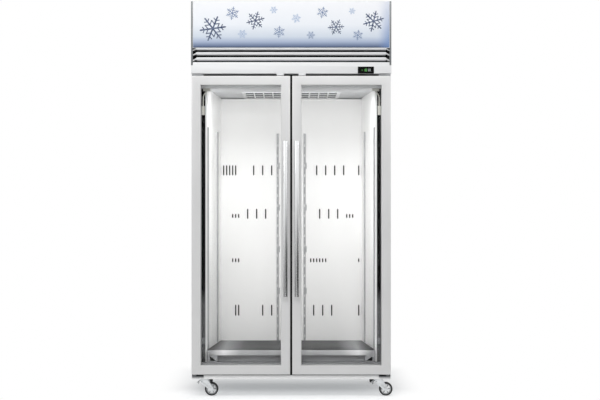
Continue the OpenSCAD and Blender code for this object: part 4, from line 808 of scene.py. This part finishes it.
# Height of the foot above the panel's, and thickness:
slats = [(9.5 * mm, 18.5 * mm), (40 * mm, 16 * mm), (68 * mm, 10 * mm)]
parts = []
for low, height in slats:
    middle = (0, louvre_lo[1] + slat_depth / 2, louvre_lo[2] + low + height / 2)
    deselect()
    bpy.ops.mesh.primitive_cube_add(size=1.0, location=middle)
    slat = bpy.context.object
    slat.scale = (2 * (louvre_hi[0] - slat_end), slat_depth, height)
    bpy.ops.object.transform_apply(location=True, rotation=True, scale=True)
    for edge in slat.data.edges:
        ends = [slat.data.vertices[i].co for i in edge.vertices]
        level = abs(ends[0].z - ends[1].z) < reach
        edge.select = level and all(abs(end.y - louvre_lo[1]) < reach for end in ends)
    for vertex in slat.data.vertices:
        vertex.select = False
    bpy.ops.object.mode_set(mode="EDIT")
    bpy.ops.mesh.select_mode(type="EDGE")
    bpy.ops.mesh.bevel(offset=nose * height, segments=5, affect="EDGES")
    bpy.ops.mesh.select_mode(type="VERT")
    bpy.ops.mesh.select_all(action="DESELECT")
    bpy.ops.object.mode_set(mode="OBJECT")
    for vertex in slat.data.vertices:
        vertex.select = (vertex.co.y > louvre_lo[1] + slat_depth - reach
                         and vertex.co.z < louvre_lo[2] + low + reach)
    bpy.ops.object.mode_set(mode="EDIT")
    bpy.ops.transform.translate(value=(0, slat_slope, height - slat_back_t))
    bpy.ops.object.mode_set(mode="OBJECT")
    for side in (-1, 1):
        for vertex in slat.data.vertices:
            vertex.select = False
        for edge in slat.data.edges:
            edge.select = False
        for face in slat.data.polygons:
            face.select = face.normal.x * side > 0.9
        bpy.ops.object.mode_set(mode="EDIT")
        bpy.ops.mesh.select_mode(type="FACE")
        bpy.ops.mesh.extrude_region_move(TRANSFORM_OT_translate={"value": (side * slat_end, 0, -slat_end_drop)})
        bpy.ops.mesh.select_mode(type="VERT")
        bpy.ops.mesh.select_all(action="DESELECT")
        bpy.ops.object.mode_set(mode="OBJECT")
    parts.append(slat)
slat_paint = in_other_tones(white_paint, "prepainted_steel_pale_grey", "#DCDDDE", "#E2E3E4")
slat_piece = finish_piece(join(parts), "louvre_slats", slat_paint, "cabinet")
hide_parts("louvre_panel")

# Behind the slats is a filter mat of matt black woven fibre, in a frame with ribs.
filter_mat = new_material("black_woven_filter")
place = add_node(filter_mat, "TexCoord")
weave = add_node(filter_mat, "TexVoronoi", {"Scale": per_mm(3)}, {"Vector": place.outputs["Object"]})
relief = add_node(filter_mat, "Bump", {"Strength": 0.5, "Distance": 0.5 * mm},
                  {"Height": weave.outputs["Distance"]})
tone = add_node(filter_mat, "Mix", {6: linear("#0E0E0F"), 7: linear("#2A2B2C")}, {0: weave.outputs["Distance"]},
                data_type="RGBA")
matt = add_node(filter_mat, "BsdfPrincipled", {"Roughness": 0.9, "Specular IOR Level": 0.1},
                {"Base Color": tone.outputs[2], "Normal": relief.outputs[0]})
add_node(filter_mat, "OutputMaterial", links={"Surface": matt.outputs[0]})
filter_t, end_plate_y = 10 * mm, louvre_lo[1] + 14 * mm
parts = [rounded_block((louvre_lo[0] + 6 * mm, louvre_hi[1] - filter_t, louvre_lo[2] + 1 * mm),
                       (louvre_hi[0] - 6 * mm, louvre_hi[1], louvre_hi[2] - 1 * mm), 1.5 * mm)]
for side in (-1, 1):
    left, right = sorted((side * (louvre_hi[0] - 0.5 * mm), side * (louvre_hi[0] - 4.5 * mm)))
    parts.append(rounded_block((left, end_plate_y, louvre_lo[2]), (right, louvre_hi[1], louvre_hi[2]), 0.5 * mm))
rib_pitches, rib_half = 20, 2 * mm
for i in range(1, rib_pitches):
    x = louvre_lo[0] + (louvre_hi[0] - louvre_lo[0]) * i / rib_pitches
    parts.append(rounded_block((x - rib_half, louvre_hi[1] - filter_t - 1.5 * mm, louvre_lo[2] + 2 * mm),
                               (x + rib_half, louvre_hi[1] - 2 * mm, louvre_hi[2] - 2 * mm), 0.5 * mm))
finish_piece(join(parts), "louvre_filter", filter_mat, "cabinet")

# Two small white stop buffers under the fascia meet the inner top corners of the doors.
stop_x, stop_w, stop_d = 60 * mm, 40 * mm, 26 * mm
stop_foot, stop_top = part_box("door_frame_left")[1][2] + 2 * mm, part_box("fascia")[0][2] - 0.2 * mm
parts = []
for x in (-stop_x, stop_x):
    parts.append(rounded_block((x - stop_w / 2, door_face_y + 1 * mm, stop_foot),
                               (x + stop_w / 2, door_face_y + stop_d, stop_top), 1.5 * mm, 3))
finish_piece(join(parts), "door_stop_buffers", white_paint, "cabinet")

# Over the wash goes a drift of snow crystals, screen-printed in three blues and raised by the thickness of
# the ink. Each is a flat six-armed star with two pairs of side branches on every arm.
inks = [("navy_screen_ink", "#16305A"), ("slate_screen_ink", "#5D769E"), ("pale_screen_ink", "#9FB3D1")]
# Across and up from the sign's middle, radius, turn in degrees, ink:
crystals = [(-430, -22, 74, 8, 0), (-322, 62, 38, 20, 1), (-268, -52, 27, 0, 2), (-196, 22, 52, 14, 0),
            (-96, 80, 22, 5, 2), (-66, -40, 34, 26, 1), (28, 34, 27, 12, 2), (108, -58, 24, 0, 1),
            (172, 66, 33, 18, 1), (246, -14, 46, 4, 0), (334, 74, 20, 10, 2), (366, -58, 30, 22, 1),
            (452, 18, 60, 16, 0)]
ink_t = 0.4 * mm


def crystal_outline(radius, turn):
    """Points round a six-armed snow crystal of that radius."""
    cos_30 = 0.866
    arm, twig = 0.055 * radius, 0.036 * radius
    branches = [(0.34 * radius, 0.34 * radius), (0.62 * radius, 0.22 * radius)]
    upper = [Vector((arm * 3 ** 0.5, arm))]
    for start, length in branches:
        tip = Vector((start + length * 0.5, arm + length * cos_30))
        upper += [Vector((start, arm)), tip, tip + 2 * twig * Vector((cos_30, -0.5)),
                  Vector((start + 2 * twig / cos_30, arm))]
    upper.append(Vector((radius - arm, arm)))
    lower = [Vector((p.x, -p.y)) for p in upper]
    sector = lower + [Vector((radius, 0))] + upper[:0:-1]
    points = []
    for k in range(6):
        turned = Matrix.Rotation(math.radians(60 * k + turn), 2)
        points += [turned @ p for p in sector]
    return points


sign_mid_z = (sign_lo[2] + sign_hi[2]) / 2
for i, (ink_name, colour) in enumerate(inks):
    ink = new_material(ink_name)
    place = add_node(ink, "TexCoord")
    dots = add_node(ink, "TexNoise", {"Scale": per_mm(12), "Detail": 2.0}, {"Vector": place.outputs["Object"]})
    thin = add_node(ink, "MapRange", {"From Min": 0.35, "From Max": 0.65, "To Min": 0.0, "To Max": 0.25},
                    {"Value": dots.outputs[0]})
    tone = add_node(ink, "Mix", {6: linear(colour), 7: linear("#C4D1E6")}, {0: thin.outputs[0]}, data_type="RGBA")
    gloss = add_node(ink, "BsdfPrincipled", {"Roughness": 0.3, "IOR": 1.49}, {"Base Color": tone.outputs[2]})
    add_node(ink, "OutputMaterial", links={"Surface": gloss.outputs[0]})
    parts = []
    for x, z, radius, turn, which in crystals:
        if which != i:
            continue
        outline = crystal_outline(radius * mm, turn)
        deselect()
        bpy.ops.mesh.primitive_circle_add(vertices=len(outline), radius=radius * mm, fill_type="NGON")
        crystal = bpy.context.object
        for vertex, point in zip(crystal.data.vertices, outline):
            vertex.co = (point.x, point.y, 0)
        bpy.ops.object.mode_set(mode="EDIT")
        bpy.ops.mesh.select_all(action="SELECT")
        bpy.ops.mesh.extrude_region_move(TRANSFORM_OT_translate={"value": (0, 0, ink_t)})
        bpy.ops.mesh.select_all(action="SELECT")
        bpy.ops.mesh.normals_make_consistent(inside=False)
        bpy.ops.object.mode_set(mode="OBJECT")
        crystal.data.transform(Matrix.Translation((x * mm, sign_lo[1], sign_mid_z + z * mm))
                               @ Matrix.Rotation(math.radians(90), 4, "X"))
        parts.append(crystal)
    finish_piece(join(parts), "sign_print_" + ink_name, ink, "cabinet", angle=20)

# The header's end caps are dark grey anodised aluminium, satin and faintly clouded.
cap_grey = new_material("dark_grey_anodised_trim")
place = add_node(cap_grey, "TexCoord")
cloud = add_node(cap_grey, "TexNoise", {"Scale": per_mm(40), "Detail": 2.0}, {"Vector": place.outputs["Object"]})
tone = add_node(cap_grey, "Mix", {6: linear("#6C6F71"), 7: linear("#7B7E80")}, {0: cloud.outputs[0]},
                data_type="RGBA")
metal = add_node(cap_grey, "BsdfPrincipled", {"Metallic": 0.5, "Roughness": 0.42}, {"Base Color": tone.outputs[2]})
add_node(cap_grey, "OutputMaterial", links={"Surface": metal.outputs[0]})
refine(cap_grey, 1.5 * mm, "header_end_caps", segments=3)

# Behind the sign lies a lamp tube of opal glass, milky and smooth.
opal = new_material("opal_lamp_tube")
place = add_node(opal, "TexCoord")
cloud = add_node(opal, "TexNoise", {"Scale": per_mm(30), "Detail": 2.0}, {"Vector": place.outputs["Object"]})
tone = add_node(opal, "Mix", {6: linear("#ECEDEA"), 7: linear("#F5F6F3")}, {0: cloud.outputs[0]},
                data_type="RGBA")
tube = add_node(opal, "BsdfPrincipled", {"Roughness": 0.25}, {"Base Color": tone.outputs[2]})
add_node(opal, "OutputMaterial", links={"Surface": tube.outputs[0]})
dress(opal, "sign_lamp")

# The controller has a case of the black ABS. Its window shows the temperature in green seven-segment
# digits, with white marks beside it. The segments are little lit bars under the window.
refine(black_plastic, 0.8 * mm, "controller")
controller_lo, controller_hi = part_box("controller")
window_y = controller_lo[1] + 1 * mm
lit_front, lit_back, lit_edge = window_y - 0.5 * mm, window_y + 0.1 * mm, 0.2 * mm
digit_w, digit_h, digit_gap, bar = 6.5 * mm, 12.5 * mm, 4.5 * mm, 1.6 * mm
digit_x, digit_z = controller_lo[0] + 20 * mm, (controller_lo[2] + controller_hi[2]) / 2 - digit_h / 2
segments_of = {"-": "g", "1": "bc", "8": "abcdefg"}
segment_bars = {"a": (0, digit_h, digit_w, digit_h), "b": (digit_w, digit_h / 2, digit_w, digit_h),
                "c": (digit_w, 0, digit_w, digit_h / 2), "d": (0, 0, digit_w, 0), "e": (0, 0, 0, digit_h / 2),
                "f": (0, digit_h / 2, 0, digit_h), "g": (0, digit_h / 2, digit_w, digit_h / 2)}
green_light = new_material("green_display_light")
glowing = add_node(green_light, "BsdfPrincipled", {"Base Color": linear("#0C2E12"), "Roughness": 0.4,
                                                   "Emission Color": linear("#69C35F"), "Emission Strength": 0.9})
add_node(green_light, "OutputMaterial", links={"Surface": glowing.outputs[0]})
parts = []
for i, digit in enumerate("-18"):
    x = digit_x + i * (digit_w + digit_gap)
    for letter in segments_of[digit]:
        x0, z0, x1, z1 = segment_bars[letter]
        parts.append(rounded_block((x + x0 - bar / 2, lit_front, digit_z + z0 - bar / 2),
                                   (x + x1 + bar / 2, lit_back, digit_z + z1 + bar / 2), lit_edge, 1))
finish_piece(join(parts), "display_digits", green_light, "cabinet")

white_light = new_material("white_display_marks")
glowing = add_node(white_light, "BsdfPrincipled", {"Base Color": linear("#8F9698"), "Roughness": 0.4,
                                                   "Emission Color": linear("#D9E2E4"), "Emission Strength": 0.6})
add_node(white_light, "OutputMaterial", links={"Surface": glowing.outputs[0]})
mark_w, mark_h, column_pitch, row_pitch = 6 * mm, 1.8 * mm, 8 * mm, 5 * mm
parts = []
for column in range(2):
    for row in range(3):
        x = controller_lo[0] + 56 * mm + column * column_pitch
        z = digit_z + 0.5 * mm + row * row_pitch
        parts.append(rounded_block((x, lit_front, z), (x + mark_w, lit_back, z + mark_h), lit_edge, 1))
finish_piece(join(parts), "display_marks", white_light, "cabinet")


# ---------- refrigeration unit ----------
# On the deck stand a compressor, a finned coil in a shroud with its fan and motor, copper pipes, an
# insulated evaporator case and an electrics box. The compressor's pressed steel shell has a black
# enamel, glossy over a fine orange peel.
black_enamel = new_material("black_enamelled_steel")
place = add_node(black_enamel, "TexCoord")
peel = add_node(black_enamel, "TexNoise", {"Scale": per_mm(4), "Detail": 2.0}, {"Vector": place.outputs["Object"]})
relief = add_node(black_enamel, "Bump", {"Strength": 0.2, "Distance": 0.05 * mm}, {"Height": peel.outputs[0]})
coat = add_node(black_enamel, "BsdfPrincipled", {"Base Color": linear("#141516"), "Roughness": 0.3},
                {"Normal": relief.outputs[0]})
add_node(black_enamel, "OutputMaterial", links={"Surface": coat.outputs[0]})
refine(black_enamel, 2 * mm, "compressor", segments=3)

# The coils have fins of mill-finish aluminium foil, bright where it is new and cloudy where it was handled.
fin_aluminium = new_material("mill_finish_aluminium")
place = add_node(fin_aluminium, "TexCoord")
cloud = add_node(fin_aluminium, "TexNoise", {"Scale": per_mm(9), "Detail": 3.0},
                 {"Vector": place.outputs["Object"]})
dullness = add_node(fin_aluminium, "MapRange", {"To Min": 0.3, "To Max": 0.45}, {"Value": cloud.outputs[0]})
metal = add_node(fin_aluminium, "BsdfPrincipled", {"Base Color": linear("#C3C5C7"), "Metallic": 1.0},
                 {"Roughness": dullness.outputs[0]})
add_node(fin_aluminium, "OutputMaterial", links={"Surface": metal.outputs[0]})
dress(fin_aluminium, "condenser_coil", "evaporator_coil")
dress(zinc, "condenser_shroud")

# The fans are moulded in dark grey polypropylene, satin with slight flow clouds.
fan_plastic = new_material("grey_polypropylene")
place = add_node(fan_plastic, "TexCoord")
cloud = add_node(fan_plastic, "TexNoise", {"Scale": per_mm(30), "Detail": 2.0}, {"Vector": place.outputs["Object"]})
tone = add_node(fan_plastic, "Mix", {6: linear("#3F4143"), 7: linear("#4A4C4E")}, {0: cloud.outputs[0]},
                data_type="RGBA")
soft = add_node(fan_plastic, "BsdfPrincipled", {"Roughness": 0.5}, {"Base Color": tone.outputs[2]})
add_node(fan_plastic, "OutputMaterial", links={"Surface": soft.outputs[0]})
refine(fan_plastic, 0.5 * mm, "condenser_fan", "evaporator_fan")

# The pipes are drawn copper, bright in parts and tarnished brown in others.
copper = new_material("drawn_copper_pipe")
place = add_node(copper, "TexCoord")
tarnish = add_node(copper, "TexNoise", {"Scale": per_mm(30), "Detail": 3.0}, {"Vector": place.outputs["Object"]})
tone = add_node(copper, "Mix", {6: linear("#9A5A3C"), 7: linear("#C98562")}, {0: tarnish.outputs[0]},
                data_type="RGBA")
metal = add_node(copper, "BsdfPrincipled", {"Metallic": 1.0, "Roughness": 0.32}, {"Base Color": tone.outputs[2]})
add_node(copper, "OutputMaterial", links={"Surface": metal.outputs[0]})
refine(copper, 0, "refrigerant_pipes")

# The electrics box is moulded in light grey plastic with a fine grain, and the evaporator case is painted.
grey_plastic = new_material("light_grey_moulded_plastic")
place = add_node(grey_plastic, "TexCoord")
grain = add_node(grey_plastic, "TexNoise", {"Scale": per_mm(1.5), "Detail": 2.0},
                 {"Vector": place.outputs["Object"]})
relief = add_node(grey_plastic, "Bump", {"Strength": 0.2, "Distance": 0.05 * mm}, {"Height": grain.outputs[0]})
soft = add_node(grey_plastic, "BsdfPrincipled", {"Base Color": linear("#B5B8BA"), "Roughness": 0.5},
                {"Normal": relief.outputs[0]})
add_node(grey_plastic, "OutputMaterial", links={"Surface": soft.outputs[0]})
refine(grey_plastic, 2 * mm, "electrics_box", segments=3)
refine(white_paint, 1.5 * mm, "evaporator_case")

# The covers and the sign case are held by zinc-plated pan-head screws with a cross recess.
screw_zinc = new_material("zinc_plated_screws")
place = add_node(screw_zinc, "TexCoord")
cloud = add_node(screw_zinc, "TexNoise", {"Scale": per_mm(3), "Detail": 2.0}, {"Vector": place.outputs["Object"]})
dullness = add_node(screw_zinc, "MapRange", {"To Min": 0.25, "To Max": 0.45}, {"Value": cloud.outputs[0]})
metal = add_node(screw_zinc, "BsdfPrincipled", {"Base Color": linear("#C9CCCE"), "Metallic": 1.0},
                 {"Roughness": dullness.outputs[0]})
add_node(screw_zinc, "OutputMaterial", links={"Surface": metal.outputs[0]})
screw_r = 4.5 * mm
screw = rounded_rod((0, 0, -0.4 * screw_r), (0, 0, 0.5 * screw_r), screw_r, 0.35 * screw_r, 24)
for along, across in ((0.62, 0.12), (0.12, 0.62)):
    cutter = rounded_block((-along * screw_r, -across * screw_r, 0.2 * screw_r),
                           (along * screw_r, across * screw_r, screw_r), 0.02 * screw_r, 1)
    recess = screw.modifiers.new("recess", "BOOLEAN")
    recess.operation, recess.solver, recess.object = "DIFFERENCE", "EXACT", cutter
    deselect()
    screw.select_set(True)
    bpy.context.view_layer.objects.active = screw
    bpy.ops.object.modifier_apply(modifier="recess")
    bpy.data.objects.remove(cutter)
back_lo, back_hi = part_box("sign_case")
inset = 14 * mm
screws = []
for lo, hi in (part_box("evaporator_case"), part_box("electrics_box")):
    for x in (lo[0] + inset, hi[0] - inset):
        for y in (lo[1] + inset, (lo[1] + hi[1]) / 2, hi[1] - inset):
            screws.append(((x, y, hi[2]), (0, 0, 1)))
for x in (back_lo[0] + 3 * inset, back_lo[0] / 3, back_hi[0] / 3, back_hi[0] - 3 * inset):
    for z in (back_lo[2] + inset, back_hi[2] - inset):
        screws.append(((x, back_hi[1], z), (0, 1, 0)))
heads = []
for spot, direction in screws:
    head = bpy.data.objects.new("screw", screw.data.copy())
    bpy.context.collection.objects.link(head)
    turn = Vector((0, 0, 1)).rotation_difference(Vector(direction)).to_matrix().to_4x4()
    head.data.transform(Matrix.Translation(spot) @ turn)
    heads.append(head)
bpy.data.objects.remove(screw)
finish_piece(join(heads), "cover_screws", screw_zinc, "cabinet")

# The rear guard is a grid of welded wire, zinc plated and fairly bright.
zinc_wire = new_material("zinc_plated_wire")
place = add_node(zinc_wire, "TexCoord")
cloud = add_node(zinc_wire, "TexNoise", {"Scale": per_mm(12), "Detail": 2.0}, {"Vector": place.outputs["Object"]})
dullness = add_node(zinc_wire, "MapRange", {"To Min": 0.25, "To Max": 0.4}, {"Value": cloud.outputs[0]})
metal = add_node(zinc_wire, "BsdfPrincipled", {"Base Color": linear("#BDC1C4"), "Metallic": 1.0},
                 {"Roughness": dullness.outputs[0]})
add_node(zinc_wire, "OutputMaterial", links={"Surface": metal.outputs[0]})
dress(zinc_wire, "unit_rear_guard")


# ---------- casters ----------
# Four swivel casters of pressed steel, bright zinc plated with a faint cloud. Each wheel is a light grey
# nylon hub with six spokes in a black rubber tyre. The front two carry a brake pedal.
zinc_plate = new_material("bright_zinc_plate")
place = add_node(zinc_plate, "TexCoord")
cloud = add_node(zinc_plate, "TexNoise", {"Scale": per_mm(14), "Detail": 3.0}, {"Vector": place.outputs["Object"]})
tone = add_node(zinc_plate, "Mix", {6: linear("#D2D5D7"), 7: linear("#ECEEEF")}, {0: cloud.outputs[0]},
                data_type="RGBA")
dullness = add_node(zinc_plate, "MapRange", {"To Min": 0.22, "To Max": 0.4}, {"Value": cloud.outputs[0]})
metal = add_node(zinc_plate, "BsdfPrincipled", {"Metallic": 0.85},
                 {"Base Color": tone.outputs[2], "Roughness": dullness.outputs[0]})
add_node(zinc_plate, "OutputMaterial", links={"Surface": metal.outputs[0]})
wheel_names = [name for name in nodes if name.startswith("caster_wheel")]
fork_names = [name for name in nodes if name.startswith("caster_fork")]
refine(zinc_plate, 0.6 * mm, "caster_plates", *fork_names)

# The tyres are matt black rubber, greyed a little by dust.
rubber = new_material("black_rubber_tyre")
place = add_node(rubber, "TexCoord")
dust = add_node(rubber, "TexNoise", {"Scale": per_mm(6), "Detail": 4.0}, {"Vector": place.outputs["Object"]})
tone = add_node(rubber, "Mix", {6: linear("#1A1A1B"), 7: linear("#2B2B2C")}, {0: dust.outputs[0]}, data_type="RGBA")
soft = add_node(rubber, "BsdfPrincipled", {"Roughness": 0.65}, {"Base Color": tone.outputs[2]})
add_node(rubber, "OutputMaterial", links={"Surface": soft.outputs[0]})

# The hubs and pedals are moulded in light grey nylon, satin and slightly soiled.
nylon = new_material("light_grey_nylon")
place = add_node(nylon, "TexCoord")
dust = add_node(nylon, "TexNoise", {"Scale": per_mm(8), "Detail": 3.0}, {"Vector": place.outputs["Object"]})
tone = add_node(nylon, "Mix", {6: linear("#B9BBBC"), 7: linear("#D0D2D3")}, {0: dust.outputs[0]}, data_type="RGBA")
soft = add_node(nylon, "BsdfPrincipled", {"Roughness": 0.42}, {"Base Color": tone.outputs[2]})
add_node(nylon, "OutputMaterial", links={"Surface": soft.outputs[0]})
refine(nylon, 0.8 * mm, "brake_pedal_left", "brake_pedal_right")

tyre_t, rim_t = 8.5 * mm, 4 * mm
boss_r, bore_r = 10 * mm, 5.5 * mm
spokes, spoke_half_w, spoke_half_t, overlap = 6, 4.5 * mm, 2.6 * mm, 1 * mm
for name in wheel_names:
    low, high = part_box(name)
    size, centre = high - low, (low + high) / 2
    axis = Vector((1, 0, 0)) if size.x < size.y else Vector((0, 1, 0))
    width, radius = min(size.x, size.y), size.z / 2
    body = nodes[name]["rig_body"]
    corner = name.replace("caster_wheel_", "")
    tyre = spun_ring(centre, axis, radius - tyre_t, radius, width, 3.5 * mm, 64)
    tyre = finish_piece(tyre, "tyre_" + corner, rubber, body)
    parts = [spun_ring(centre, axis, radius - tyre_t - rim_t, radius - tyre_t, width - 5 * mm, 1 * mm, 64),
             spun_ring(centre, axis, bore_r, boss_r, width - 0.6 * mm, 1.2 * mm, 40)]
    turn = Vector((0, 1, 0)).rotation_difference(axis).to_matrix().to_4x4()
    for k in range(spokes):
        spoke = rounded_block((boss_r - overlap, -spoke_half_w, -spoke_half_t),
                              (radius - tyre_t - rim_t + overlap, spoke_half_w, spoke_half_t), 0.8 * mm)
        spoke.data.transform(Matrix.Translation(centre) @ turn @ Matrix.Rotation(k * math.tau / spokes, 4, "Y"))
        parts.append(spoke)
    finish_piece(join(parts), "hub_" + corner, nylon, body)
    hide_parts(name)
